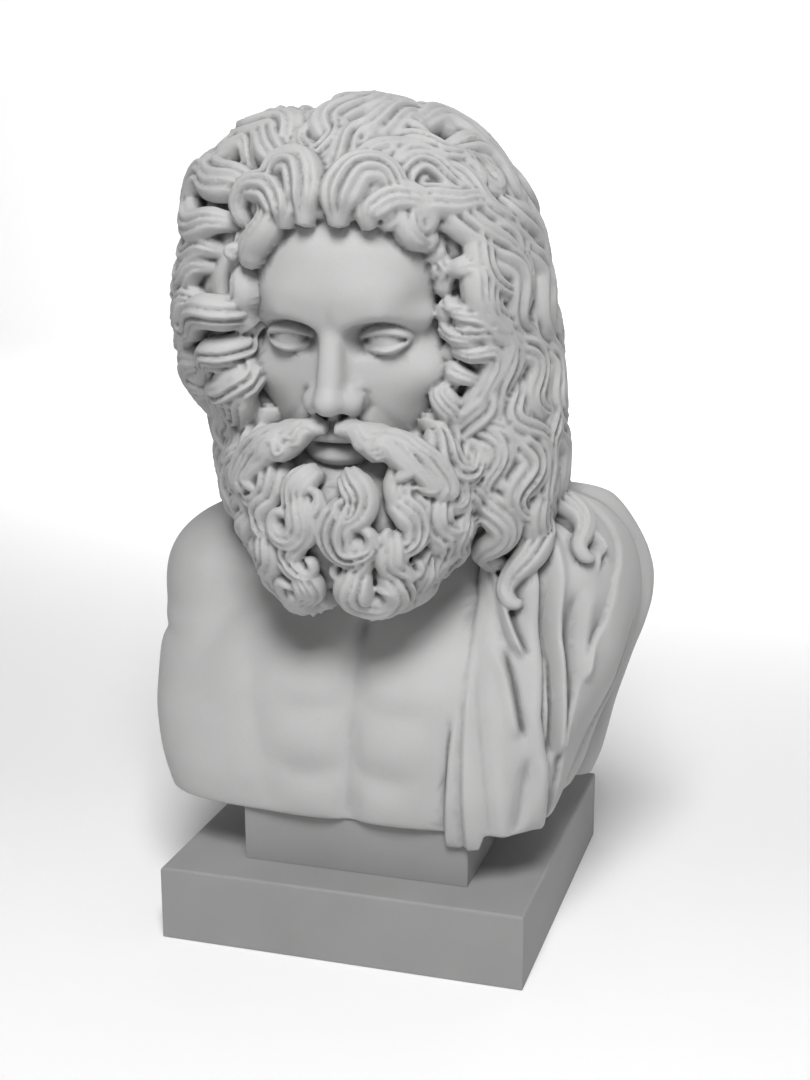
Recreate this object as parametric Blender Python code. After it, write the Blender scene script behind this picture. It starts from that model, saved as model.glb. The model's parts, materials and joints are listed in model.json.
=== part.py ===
"""Bust of a bearded classical god on a riser block and a low slab, in metres, +Z up.

The origin is the centre of the slab's underside. X runs to the viewer's right, the figure looks along -Y.
The slab and the block are sized by themselves. The bust is a free form: its carving is worked out in a
frame of its own, at a height of CARVED_HEIGHT, and set to BUST_HEIGHT.
"""
import math

import bmesh
import bpy
import numpy as np
from mathutils import Matrix

# Driving dimensions.
BUST_HEIGHT = 0.560
SLAB_WIDTH = 0.300
SLAB_DEPTH = 0.300
SLAB_HEIGHT = 0.061
SLAB_BEVEL = 0.0025
RISER_WIDTH = 0.187
RISER_DEPTH = 0.227
RISER_HEIGHT = 0.045
RISER_ASIDE = 0.003
CLEARANCE = 0.0003
HEM_DROP = 0.012
HEM_CLEARANCE = 0.003

# Height that the carving's own measures are given for, and the share of it that the bust takes.
CARVED_HEIGHT = 0.560
SCALE = BUST_HEIGHT / CARVED_HEIGHT

# Fineness of the faceted bust.
BODY_STEP = 0.0030
HEAD_STEP = 0.0020
CLOAK_STEP = 0.0024
VOXEL = 0.0024
BUST_TRIANGLES = 9200

# Fields: below zero inside, metres away from the surface outside.

def smooth_min(a, b, k):
    h = np.clip(0.5 + 0.5 * (b - a) / k, 0.0, 1.0)
    return b + (a - b) * h - k * h * (1.0 - h)

def smooth_max(a, b, k):
    return -smooth_min(-a, -b, k)

def ellipsoid(p, centre, radii):
    q = [(p[i] - centre[i]) / radii[i] for i in range(3)]
    k0 = np.sqrt(q[0] ** 2 + q[1] ** 2 + q[2] ** 2) + 1e-9
    k1 = np.sqrt(sum((q[i] / radii[i]) ** 2 for i in range(3))) + 1e-9
    return k0 * (k0 - 1.0) / k1

def capsule(p, a, b, ra, rb):
    ab = [b[i] - a[i] for i in range(3)]
    length2 = sum(v * v for v in ab)
    t = sum((p[i] - a[i]) * ab[i] for i in range(3)) / length2
    t = np.clip(t, 0.0, 1.0)
    d = np.sqrt(sum((p[i] - a[i] - ab[i] * t) ** 2 for i in range(3)))
    return d - (ra + (rb - ra) * t)

def ease(v, low, high):
    t = np.clip((v - low) / (high - low), 0.0, 1.0)
    return t * t * (3.0 - 2.0 * t)

def mound(p, centre, size, height):
    q = sum(((p[i] - centre[i]) / size[i]) ** 2 for i in range(3))
    return height * np.exp(-q)

# Corners of the spaces that hold the body, the cloak, the head's front and the hair with the beard.
BODY_SPACE = ((-0.230, -0.170, -0.014), (0.230, 0.130, 0.300))
CLOAK_SPACE = ((0.030, -0.170, -0.020), (0.240, 0.140, 0.280))
HEAD_SPACE = ((-0.105, -0.190, 0.255), (0.095, 0.000, 0.515))
HAIR_SPACE = ((-0.175, -0.190, 0.140), (0.170, 0.110, 0.575))

# Torso at each height: half width on the bare and on the cloaked side, front, back.
TORSO = (
    (-0.02, 0.166, 0.136, -0.114, 0.055),
    (0.000, 0.174, 0.142, -0.119, 0.062),
    (0.030, 0.186, 0.150, -0.122, 0.074),
    (0.065, 0.197, 0.160, -0.118, 0.084),
    (0.100, 0.202, 0.174, -0.107, 0.092),
    (0.130, 0.203, 0.182, -0.090, 0.098),
    (0.155, 0.195, 0.181, -0.070, 0.100),
    (0.180, 0.176, 0.171, -0.048, 0.098),
    (0.205, 0.140, 0.146, -0.030, 0.092),
    (0.230, 0.098, 0.100, -0.020, 0.080),
    (0.260, 0.070, 0.070, -0.020, 0.065),
)

def rounded_columns(table, count=200, reach=12):
    """The table's columns at even heights, with the bends between its rows rounded."""
    table = np.array(table)
    heights = np.linspace(table[0, 0], table[-1, 0], count)
    kernel = np.hanning(2 * reach + 1)
    kernel /= kernel.sum()
    columns = [heights]
    for column in table.T[1:]:
        even = np.interp(heights, table[:, 0], column)
        columns.append(np.convolve(np.pad(even, reach, mode="edge"), kernel, "valid"))
    return columns

TORSO_COLUMNS = rounded_columns(TORSO)

def torso_size(z, column):
    return np.interp(z, TORSO_COLUMNS[0], TORSO_COLUMNS[column]).astype(np.float32)

def torso(p):
    x, y, z = p
    half = np.where(x < 0.0, torso_size(z, 1), torso_size(z, 2))
    front, back = torso_size(z, 3), torso_size(z, 4)
    power = 4.2 - 1.6 * ease(z, -0.01, 0.12)
    middle = front * 0.45 + back * 0.55
    depth = np.where(y < middle, middle - front, back - middle)
    u = np.abs(x) / half
    v = np.abs(y - middle) / depth
    rho = (u ** power + v ** power) ** (1.0 / power)
    return (rho - 1.0) * np.minimum(half, depth) * 0.9

def frame_of_body(p):
    """Torso, shoulders and neck without the muscles."""
    x, y, z = p
    m = (np.abs(x), y, z)
    f = torso(p)
    f = smooth_min(f, ellipsoid(p, (-0.135, 0.020, 0.166), (0.070, 0.074, 0.056)), 0.018)
    f = smooth_min(f, ellipsoid(p, (0.133, 0.020, 0.181), (0.062, 0.070, 0.060)), 0.018)
    slant = np.where(x < 0.0, 0.176, 0.185)
    f = smooth_min(f, capsule(m, (0.0, 0.035, 0.212), (0.135, 0.04, slant), 0.052, 0.036), 0.030)
    return smooth_min(f, capsule(p, (0.0, 0.022, 0.120), (-0.004, -0.015, 0.330), 0.072, 0.062), 0.030)

# Arches under the breast and the row below it: height, fall to the sides, depth, reach, half width.
MUSCLE_ARCHES = ((0.089, 0.16, 0.0027, 0.080, 0.0105), (0.037, 0.20, 0.0022, 0.068, 0.0100))

def body(p):
    x, y, z = p
    ax = np.abs(x)
    m = (ax, y, z)
    front = ease(-y, 0.0, 0.03)
    f = frame_of_body(p)
    # collar bones and the two cords of the neck
    f = smooth_min(f, capsule(m, (0.016, -0.066, 0.137), (0.115, -0.030, 0.176), 0.0075, 0.0065), 0.016)
    f = smooth_min(f, capsule(m, (0.012, -0.058, 0.142), (0.052, -0.010, 0.260), 0.009, 0.012), 0.018)
    f = f + mound(p, (0.0, -0.070, 0.146), (0.010, 0.03, 0.012), 0.006)
    # breast muscles and the two rows below them
    f = f - mound(m, (0.060, -0.095, 0.108), (0.050, 0.05, 0.030), 0.0070)
    f = f - mound(m, (0.036, -0.112, 0.064), (0.030, 0.05, 0.022), 0.0032)
    f = f - mound(m, (0.036, -0.120, 0.014), (0.030, 0.05, 0.019), 0.0026)
    # the furrow down the middle, the arches under breast and row, the edge towards the side
    furrow = np.exp(-(x / 0.0105) ** 2) * ease(z, -0.03, 0.02) * (1.0 - ease(z, 0.118, 0.145))
    f = f + 0.0040 * furrow * front
    for level, drop, depth, reach, wide in MUSCLE_ARCHES:
        line = level + drop * np.abs(ax - 0.036) ** 1.5 / 0.036 ** 0.5
        cut = np.exp(-((z - line) / wide) ** 2) * (1.0 - ease(ax, reach * 0.55, reach))
        cut = cut * ease(ax, 0.002, 0.016)
        f = f + depth * cut * front
    side = np.exp(-((ax - 0.074 - 0.20 * (z - 0.05)) / 0.012) ** 2)
    side = side * ease(z, 0.0, 0.03) * (1 - ease(z, 0.12, 0.145))
    f = f + 0.0017 * side * front
    # the crease between shoulder and arm, and the hollow below the collar bone
    crease = 0.120 + 5.0 * (ax - 0.195) ** 2
    f = f + 0.0018 * np.exp(-((z - crease) / 0.007) ** 2) * ease(-x, 0.150, 0.190)
    hollow = np.exp(-((ax - 0.118 + 0.5 * (z - 0.15)) / 0.014) ** 2)
    hollow = hollow * ease(z, 0.09, 0.14) * (1 - ease(z, 0.165, 0.19))
    return f + 0.0030 * hollow * front

# Head: life-size millimetres (aside, ahead, up) from a point between the ears.
HEAD = np.array((-0.008, -0.025, 0.401))
FACE = 1.18e-3
PITCH = math.radians(10.0)
YAW = math.radians(2.0)

def turned(v, angle):
    """The direction turned about the upright axis."""
    c, r = math.cos(angle), math.sin(angle)
    return np.array((v[0] * c - v[1] * r, v[0] * r + v[1] * c, v[2]))

UP = turned(np.array((0.0, -math.sin(PITCH), math.cos(PITCH))), YAW)
AHEAD = turned(np.array((0.0, -math.cos(PITCH), -math.sin(PITCH))), YAW)
ASIDE = turned(np.array((1.0, 0.0, 0.0)), YAW)

def to_head(p):
    d = [p[i] - HEAD[i] for i in range(3)]
    return tuple(sum(d[i] * axis[i] for i in range(3)) / FACE for axis in (ASIDE, AHEAD, UP))

def from_head(q):
    return HEAD + FACE * (ASIDE * q[0] + AHEAD * q[1] + UP * q[2])

def head(p):
    s, a, u = to_head(p)
    ms = np.abs(s)
    q, m = (s, a, u), (ms, a, u)
    f = ellipsoid(q, (0, 3, 34), (75, 94, 86))
    f = smooth_min(f, ellipsoid(q, (0, 32, -32), (66, 62, 84)), 14)
    # jaw, forehead, the bar above the brows, temples
    f = smooth_min(f, ellipsoid(q, (0, 60, -90), (36, 38, 27)), 14)
    f = smooth_min(f, ellipsoid(q, (0, 52, 34), (58, 46, 44)), 16)
    f = smooth_min(f, ellipsoid(m, (15, 84, 27), (26, 14, 12)), 14)
    f = f + 4.0 * np.exp(-((ms - 66) / 16) ** 2 - ((a - 52) / 22) ** 2 - ((u - 26) / 26) ** 2)
    brow = capsule(m, (8, 92.5, 15.0), (30, 90.5, 18.0), 6.0, 6.2)
    brow = np.minimum(brow, capsule(m, (30, 90.5, 18.0), (52, 69, 12), 6.2, 6.0))
    f = smooth_min(f, brow, 9)
    # muzzle and cheek bones
    f = smooth_min(f, ellipsoid(q, (0, 72, -62), (33, 27, 27)), 14)
    f = smooth_min(f, ellipsoid(m, (44, 58, -24), (23, 21, 16)), 16)
    # eye sockets
    f = smooth_max(f, -ellipsoid(m, (31, 100, 1.5), (22.0, 22, 13.0)), 6)
    f = smooth_max(f, -ellipsoid(m, (17.5, 93, 1), (8, 10, 9)), 6)
    # nose
    nose = capsule(q, (0, 89.0, 16), (0, 107, -31), 7.0, 8.0)
    nose = smooth_min(nose, capsule(q, (0, 78, 12), (0, 88, -36), 9, 17.0), 7)
    nose = smooth_min(nose, ellipsoid(q, (0, 110, -34), (9.0, 9.0, 8.4)), 4)
    nose = smooth_min(nose, ellipsoid(m, (12.0, 95.0, -37), (8.4, 13.0, 9.0)), 8)
    f = smooth_min(f, nose, 4.5)
    f = smooth_max(f, -ellipsoid(m, (7.0, 103, -45.5), (4.2, 7.0, 4.4)), 1.6)
    wing = np.abs(np.sqrt((a - 97.5) ** 2 + ((u + 38) * 1.25) ** 2) - 10.4)
    beside_nose = ease(ms, 10, 14) * (1 - ease(ms, 20, 24)) * (1 - ease(a, 98, 104)) * ease(u, -47, -41)
    f = f + 1.1 * np.exp(-(wing / 2.0) ** 2) * beside_nose
    # the fold from the nose's wing down the cheek
    fold = capsule(m, (19, 93, -40), (37, 80, -66), 3.0, 3.0)
    f = f + 1.8 * np.exp(-(np.maximum(fold, 0) / 4.0) ** 2)
    # eyeballs and lids
    ball = np.sqrt((ms - 31.0) ** 2 + (a - 75.5) ** 2 + (u + 0.5) ** 2)
    f = smooth_min(f, ball - 13.2, 0.8)
    t = (ms - 31.0) / 16.0
    arch = np.maximum(1.0 - t * t, 0.0)
    upper_edge = -0.6 + t * 0.6 + 7.6 * arch ** 0.7
    lower_edge = -1.6 + t * 0.6 - 5.0 * arch ** 0.8
    past = np.maximum(np.abs(ms - 31.0) - 15.5, 0.0)
    shell = smooth_max(ball - 14.2, upper_edge - u, 0.6)
    upper = np.sqrt((ball - 14.6) ** 2 + (u - upper_edge) ** 2 + past ** 2) - 2.3
    lower = np.sqrt((ball - 14.2) ** 2 + (u - lower_edge) ** 2 + past ** 2) - 1.8
    f = smooth_min(f, smooth_min(shell, upper, 1.2), 1.2)
    f = smooth_min(f, lower, 1.6)
    # lips
    f = smooth_min(f, ellipsoid(q, (0, 92.0, -59.5), (23, 11.5, 5.6)), 3)
    f = smooth_min(f, ellipsoid(q, (0, 92.5, -73.0), (19, 11.5, 6.8)), 3.5)
    f = smooth_max(f, -ellipsoid(q, (0, 102, -66.0), (25, 11, 1.9)), 1.8)
    f = f + 2.2 * np.exp(-(s / 18) ** 2 - ((u + 84) / 5) ** 2) * (a > 60)
    return f * FACE

# The masses that the locks lie on.
HAIR_C = np.array((-0.012, -0.030, 0.395))
BEARD_C = np.array((-0.004, -0.062, 0.262))

def face_opening(p):
    """Below zero in the space before the face; it widens outward, so its rim slopes."""
    s, a, u = to_head(p)
    flare = 0.62 * np.clip(a - 45.0, 0.0, 70.0)
    half = 57.0 - 10.0 * ease(-u, 20.0, 60.0) + flare + 9.0 * ease(s, 0.0, 40.0)
    tall = np.where(u > 0, u / (80.0 + flare), -u / (66.0 + 0.3 * flare))
    rho = ((np.abs(s) / half) ** 2.5 + tall ** 2.5) ** 0.4
    return smooth_max((rho - 1.0) * 50.0, 26.0 - a, 8.0) * FACE

def hair_mass(p):
    f = ellipsoid(p, (-0.014, -0.036, 0.411), (0.131, 0.112, 0.133))
    f = smooth_min(f, ellipsoid(p, (-0.074, -0.040, 0.472), (0.056, 0.072, 0.050)), 0.020)
    f = smooth_min(f, ellipsoid(p, (0.041, -0.014, 0.460), (0.055, 0.078, 0.055)), 0.020)
    f = smooth_min(f, ellipsoid(p, (-0.008, 0.004, 0.300), (0.110, 0.080, 0.120)), 0.030)
    f = smooth_min(f, ellipsoid(p, (-0.107, -0.035, 0.380), (0.035, 0.056, 0.064)), 0.020)
    f = smooth_min(f, ellipsoid(p, (-0.088, -0.030, 0.275), (0.034, 0.046, 0.078)), 0.020)
    f = smooth_min(f, ellipsoid(p, (0.092, -0.018, 0.335), (0.034, 0.056, 0.095)), 0.020)
    f = smooth_min(f, ellipsoid(p, (0.094, -0.024, 0.270), (0.040, 0.050, 0.070)), 0.020)
    return smooth_max(f, -face_opening(p), 0.008)

def beard_mass(p):
    f = ellipsoid(p, (-0.002, -0.088, 0.246), (0.076, 0.060, 0.056))
    f = smooth_min(f, ellipsoid(p, (-0.004, -0.058, 0.282), (0.094, 0.068, 0.058)), 0.020)
    m = (np.abs(p[0] + 0.003), p[1], p[2])
    f = smooth_min(f, ellipsoid(m, (0.025, -0.108, 0.213), (0.025, 0.034, 0.028)), 0.012)
    s, a, u = to_head(p)
    lips = ellipsoid((s, a, u), (0, 118, -68), (30, 34, 17)) * FACE
    return smooth_max(smooth_max(f, -face_opening(p), 0.008), -lips, 0.006)

def masses(p):
    return smooth_min(hair_mass(p), beard_mass(p), 0.008)

# Cloak over the statue's left shoulder: smooth cloth with two borders in front, a band along its
# back edge, and creases that run down from the shoulder. Angles are about the cloak's own upright
# axis, 0 to the front and 90 to the side; each course lists angle and height from top to bottom.
CLOAK_AXIS = (0.070, 0.012)
CLOAK_THICK = 0.0035
CLOAK_DEEP = 0.012
PANEL_STEP = 0.0032
PANEL_ROLL = 0.0024
PANEL_GROOVE = 0.0036
BAND_STEP = 0.0040
CLOTH_WAVE = 0.0012
CREASE_STRENGTH = 1.3
BACK_BORDER = 0.050
BACK_BORDER_FROM = 0.060
PANEL_EDGE = ((46.0, 0.215), (45.0, 0.170), (38.0, 0.094), (42.0, -0.010))
BAND_EDGE = (
    (97.0, 0.255), (84.0, 0.215), (74.0, 0.190), (68.0, 0.154), (55.0, 0.118), (47.0, 0.076),
    (44.0, 0.030),
)
# course, depth, half width of the groove, height of the ridge beside it and its side
CREASES = (
    (((24.0, 0.225), (30.0, 0.180), (34.0, 0.150), (36.0, 0.136)), 0.0040, 0.0030, 0.0055, -1),
    (((19.0, 0.225), (24.0, 0.180), (28.0, 0.150), (32.0, 0.134)), 0.0028, 0.0028, 0.0020, 1),
    (((26.0, 0.148), (29.0, 0.120), (31.0, 0.078)), 0.0035, 0.0032, 0.0035, -1),
    (((12.0, 0.190), (14.0, 0.120), (19.0, 0.000), (20.0, -0.030)), 0.0018, 0.0060, 0.0018, 1),
    (((33.0, 0.070), (30.0, 0.040), (27.0, 0.000)), 0.0020, 0.0060, 0.0022, 1),
    (((52.0, 0.250), (49.0, 0.190), (44.0, 0.106), (42.0, 0.058)), 0.0042, 0.0030, 0.0045, 1),
    (((47.0, 0.190), (46.0, 0.160), (44.0, 0.130)), 0.0022, 0.0026, 0.0025, 1),
    (((60.0, 0.190), (57.0, 0.150), (53.0, 0.112)), 0.0028, 0.0042, 0.0030, 1),
    (((66.0, 0.262), (67.0, 0.235), (70.0, 0.205)), 0.0040, 0.0030, 0.0045, 1),
    (((80.0, 0.245), (76.0, 0.225), (70.0, 0.196)), 0.0026, 0.0026, 0.0030, -1),
    (((104.0, 0.260), (101.0, 0.150), (96.0, -0.030)), 0.0030, 0.0060, 0.0036, 1),
    (((121.0, 0.260), (117.0, 0.120), (112.0, -0.030)), 0.0036, 0.0055, 0.0045, -1),
    (((138.0, 0.260), (136.0, 0.130), (130.0, -0.030)), 0.0034, 0.0060, 0.0045, 1),
    (((157.0, 0.260), (153.0, 0.120), (149.0, -0.030)), 0.0036, 0.0055, 0.0045, -1),
    (((171.0, 0.240), (169.0, 0.120), (167.0, -0.030)), 0.0030, 0.0060, 0.0036, 1),
)

def course_at(course, z):
    """The angle of a course at each height."""
    angles = [a for a, _ in reversed(course)]
    heights = [h for _, h in reversed(course)]
    return np.interp(z, heights, angles)

def cloak(p):
    x, y, z = p
    angle = np.degrees(np.arctan2(x - CLOAK_AXIS[0], -(y - CLOAK_AXIS[1])))
    around = np.minimum(np.sqrt((x - CLOAK_AXIS[0]) ** 2 + (y - CLOAK_AXIS[1]) ** 2), 0.14)
    under_border = 0.079 + 0.03 * z
    over_border = 0.096 - 0.050 * z
    front = y < CLOAK_AXIS[1]
    past_panel = np.radians(angle - course_at(PANEL_EDGE, z)) * around
    past_band = np.radians(angle - course_at(BAND_EDGE, z)) * around
    on_panel = ease(x - over_border, -0.0012, 0.0012) - ease(past_panel, -0.0010, 0.0018)
    relief = PANEL_STEP * on_panel * front
    relief = relief + BAND_STEP * ease(past_band, -0.0008, 0.0020) * ease(z, -0.02, 0.03)
    relief = relief + PANEL_ROLL * np.exp(-(past_panel / 0.006 + 1.2) ** 2)
    relief = relief - PANEL_GROOVE * np.exp(-(past_panel / 0.0024 - 0.8) ** 2)
    relief = relief + CLOTH_WAVE * np.sin(np.radians(angle) * 9.0 + 14.0 * z)
    for course, deep, wide, ridge, side in CREASES:
        t = np.radians(angle - course_at(course, z)) * around * side
        high_end, low_end = course[0][1], course[-1][1]
        within = ease(z, low_end - 0.004, low_end + 0.012) * (1 - ease(z, high_end - 0.02, high_end))
        cut = ridge * np.exp(-((t / wide - 2.2) / 1.7) ** 2) - deep * np.exp(-(t / wide) ** 2)
        relief = relief + CREASE_STRENGTH * cut * within
    f = frame_of_body(p) - CLOAK_THICK - relief
    f = smooth_max(f, np.where(y < BACK_BORDER_FROM, under_border, BACK_BORDER) - x, 0.003)
    return smooth_max(f, -CLOAK_DEEP - frame_of_body(p), 0.004)

# Meshes.

def surface_net(field, origin, step):
    """One point in every cell that the surface crosses, one quad for every crossed edge."""
    inside = field < 0.0
    nx, ny, nz = field.shape
    cell = inside[:-1, :-1, :-1].astype(np.int8)
    for dx in (0, 1):
        for dy in (0, 1):
            for dz in (0, 1):
                if dx + dy + dz:
                    cell = cell + inside[dx:nx - 1 + dx, dy:ny - 1 + dy, dz:nz - 1 + dz]
    active = (cell > 0) & (cell < 8)
    index = np.full(active.shape, -1, np.int64)
    cells = np.argwhere(active)
    index[active] = np.arange(len(cells))
    total = np.zeros((len(cells), 3))
    count = np.zeros(len(cells))
    i, j, k = cells.T
    for axis in range(3):
        for b in (0, 1):
            for c in (0, 1):
                low = [0, 0, 0]
                others = [a for a in range(3) if a != axis]
                low[others[0]], low[others[1]] = b, c
                high = list(low)
                high[axis] = 1
                f0 = field[i + low[0], j + low[1], k + low[2]]
                f1 = field[i + high[0], j + high[1], k + high[2]]
                crossed = (f0 < 0) != (f1 < 0)
                t = np.where(crossed, f0 / np.where(crossed, f0 - f1, 1.0), 0.0)
                spot = np.zeros((len(cells), 3))
                for a in range(3):
                    spot[:, a] = low[a] + (t if a == axis else 0.0)
                total += spot * crossed[:, None]
                count += crossed
    points = (cells + total / count[:, None]) * step + np.asarray(origin)
    quads = []
    for axis in range(3):
        a, b = [v for v in range(3) if v != axis]
        cut = [slice(1, -1)] * 3
        cut[axis] = slice(0, -1)
        ahead = [slice(1, -1)] * 3
        ahead[axis] = slice(1, None)
        lower = inside[tuple(cut)]
        upper = inside[tuple(ahead)]
        crossed = np.argwhere(lower != upper)
        offset = np.array([1, 1, 1])
        offset[axis] = 0
        corner = crossed + offset
        ids = []
        for da, db in ((-1, -1), (0, -1), (0, 0), (-1, 0)):
            spot = corner.copy()
            spot[:, a] += da
            spot[:, b] += db
            ids.append(index[spot[:, 0], spot[:, 1], spot[:, 2]])
        quad = np.stack(ids, 1)
        flip = lower[crossed[:, 0], crossed[:, 1], crossed[:, 2]]
        if axis == 1:
            flip = ~flip
        quad[~flip] = quad[~flip][:, ::-1]
        quads.append(quad)
    return points, np.concatenate(quads)

def sample(function, space, step):
    """The surface of the function within the space, found on a grid of the step."""
    low, high = space
    axes = [np.arange(low[i], high[i] + step * 0.5, step, dtype=np.float32) for i in range(3)]
    p = (axes[0][:, None, None], axes[1][None, :, None], axes[2][None, None, :])
    field = np.broadcast_to(function(p), [len(a) for a in axes]).astype(np.float32).copy()
    for axis in range(3):
        edge = [slice(None)] * 3
        for end in (0, -1):
            edge[axis] = end
            field[tuple(edge)] = np.maximum(field[tuple(edge)], step)
    return surface_net(field, [a[0] for a in axes], step)

class Heap:
    """Collects closed shapes as triangles."""
    def __init__(self):
        self.points = []
        self.faces = []
        self.count = 0

    def add(self, points, quads, triangles=None):
        faces = [quads[:, [0, 1, 2]], quads[:, [0, 2, 3]]]
        if triangles is not None:
            faces.append(triangles)
        self.points.append(points)
        self.faces.append(np.concatenate(faces) + self.count)
        self.count += len(points)

def mesh_object(name, points, faces):
    mesh = bpy.data.meshes.new(name)
    mesh.vertices.add(len(points))
    mesh.vertices.foreach_set("co", np.asarray(points, np.float32).ravel())
    corners = faces.shape[1]
    mesh.loops.add(faces.size)
    mesh.loops.foreach_set("vertex_index", faces.astype(np.int32).ravel())
    mesh.polygons.add(len(faces))
    mesh.polygons.foreach_set("loop_start", np.arange(0, faces.size, corners, dtype=np.int32))
    mesh.update()
    mesh.validate()
    obj = bpy.data.objects.new(name, mesh)
    bpy.context.scene.collection.objects.link(obj)
    return obj

# Locks.

def unit(v):
    return v / (np.linalg.norm(v, axis=-1, keepdims=True) + 1e-12)

def slope(mass, points, h=0.0012):
    p = points.T
    out = []
    for axis in range(3):
        a = [p[i] + (h if i == axis else 0.0) for i in range(3)]
        b = [p[i] - (h if i == axis else 0.0) for i in range(3)]
        out.append(mass(a) - mass(b))
    return unit(np.stack(out, 1))

def settle(mass, points, offset, rounds=4):
    for _ in range(rounds):
        points = points + slope(mass, points) * (offset - mass(points.T))[:, None]
    return points

def resample(points, count):
    gone = np.concatenate([[0.0], np.cumsum(np.linalg.norm(np.diff(points, axis=0), axis=1))])
    t = np.linspace(0, gone[-1], count)
    return np.stack([np.interp(t, gone, points[:, i]) for i in range(3)], 1)

def smoothed(points, rounds):
    for _ in range(rounds):
        points = points.copy()
        points[1:-1] = points[1:-1] * 0.5 + (points[:-2] + points[2:]) * 0.25
    return points

def grow(mass, starts, lengths, flow, swing, waves, phases, steps=24):
    """Lines that run from the starts over the mass, all at once, swinging about the flow's direction."""
    p = settle(mass, np.asarray(starts, float), np.zeros(len(starts)), 5)
    lines = [p]
    for k in range(steps):
        n = slope(mass, p)
        d = flow(p)
        d = unit(d - n * np.sum(d * n, axis=1)[:, None])
        s = (k + 0.5) / steps
        turn = (swing * ease(s, 0.0, 0.2) * np.sin(2 * math.pi * waves * s + phases))[:, None]
        d = d * np.cos(turn) + np.cross(d, n) * np.sin(turn)
        p = settle(mass, p + d * (np.asarray(lengths) / steps)[:, None], np.zeros(len(p)), 1)
        lines.append(p)
    return np.stack(lines, 1)

def curled(mass, line, offset, turn, radius, rise, lift, sink, count=48):
    """Lays a line over its mass, its root sunk in, with a curl at its end that rises inward."""
    p = resample(smoothed(line, 1), 28)
    n = slope(mass, p)
    s = np.linspace(0, 1, len(p))
    height = offset + lift * np.sin(math.pi * s) ** 2 - sink * (1.0 - ease(s, 0.0, 0.2))
    if turn:
        t = np.linspace(0, 1, 25)[1:]
        heading = math.radians(turn) * t ** 1.05
        step = radius * (1.0 - 0.74 * t) * abs(math.radians(turn)) / 24
        forward = unit(p[-1] - p[-3])
        across = unit(np.cross(forward, n[-1]))
        move = (np.cos(heading)[:, None] * forward + np.sin(heading)[:, None] * across) * step[:, None]
        p = np.vstack([p, p[-1] + np.cumsum(move, axis=0)])
        height = np.concatenate([height, offset + rise * t])
    p = resample(settle(mass, p, height, 2), count)
    return p, slope(mass, p)

def sweep(points, normals, width, thick, strands, seed, taper=0.6, groove=0.36, root=0.5, sink=0.8,
          roll=0.0):
    """Closed grooved tube over a line: rings of a flat oval with strands cut in its outer side."""
    rng = np.random.default_rng(seed)
    n = len(points)
    s = np.linspace(0, 1, n)
    tangent = unit(np.gradient(points, axis=0))
    side = unit(np.cross(tangent, normals))
    out = unit(np.cross(side, tangent))
    if roll:
        c, r = math.cos(roll), math.sin(roll)
        side, out = side * c + out * r, out * c - side * r
    close = np.sqrt(np.maximum(1.0 - (np.clip((s - 0.90) / 0.10, 0, 1) ** 2) * 0.94, 0.02))
    w = width * 0.5 * (root + (1 - root) * ease(s, 0.0, 0.3)) * (1 - taper * ease(s, 0.35, 1.0)) * close
    h = thick * (0.5 + 0.5 * ease(s, 0.0, 0.25)) * (1 - 0.4 * ease(s, 0.5, 1.0)) * close
    u = np.sin(np.linspace(-0.5, 0.5, 6 * strands + 1) * math.pi)[None, :]
    drift = 0.10 * np.sin(2 * math.pi * (s * 1.3 + rng.random()))[:, None]
    carved = np.zeros((n, u.shape[1]))
    for cut in range(1, strands):
        line = 2.0 * cut / strands - 1.0 + rng.uniform(-0.10, 0.10) + drift
        deep = groove * rng.uniform(0.55, 1.1) * ease(s, 0.02, 0.15)[:, None]
        across = (u - line * (1 - 0.15 * u ** 2)) * strands / 0.62
        carved = np.maximum(carved, deep * np.exp(-across ** 2))
    dome = np.maximum(1 - np.abs(u) ** 2.2, 0) ** 0.5
    top = h[:, None] * dome * (1 - carved)
    under = np.linspace(1, -1, 7)[None, 1:-1]
    low = -sink * h[:, None] * np.sqrt(1 - under ** 2)
    lateral = np.concatenate([np.repeat(u, n, 0), np.repeat(under, n, 0)], 1) * w[:, None]
    rise = np.concatenate([top, low], 1)
    ring = points[:, None] + side[:, None] * lateral[:, :, None] + out[:, None] * rise[:, :, None]
    k = ring.shape[1]
    i = np.arange(n - 1)[:, None] * k
    j = np.arange(k)[None, :]
    j2 = (j + 1) % k
    quads = np.stack([i + j, i + j2, i + k + j2, i + k + j], -1).reshape(-1, 4)
    ends = np.vstack([points[:1] - tangent[:1] * 0.3 * w[0], points[-1:] + tangent[-1:] * 0.4 * w[-1]])
    points = np.vstack([ring.reshape(-1, 3), ends])
    j = np.arange(k)
    j2 = (j + 1) % k
    first = np.stack([j2, j, np.full(k, n * k)], 1)
    last = np.stack([(n - 1) * k + j, (n - 1) * k + j2, np.full(k, n * k + 1)], 1)
    return points, quads, np.concatenate([first, last])

# Hair and beard.

LOOK_DOWN = math.radians(12.0)
FACE_AXIS = np.array((0.0, -math.cos(LOOK_DOWN), -math.sin(LOOK_DOWN)))
FACE_UP = np.array((0.0, -math.sin(LOOK_DOWN), math.cos(LOOK_DOWN)))
FACE_SIDE = np.array((1.0, 0.0, 0.0))
DOWN = np.array((0.0, 0.0, -1.0))

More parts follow.
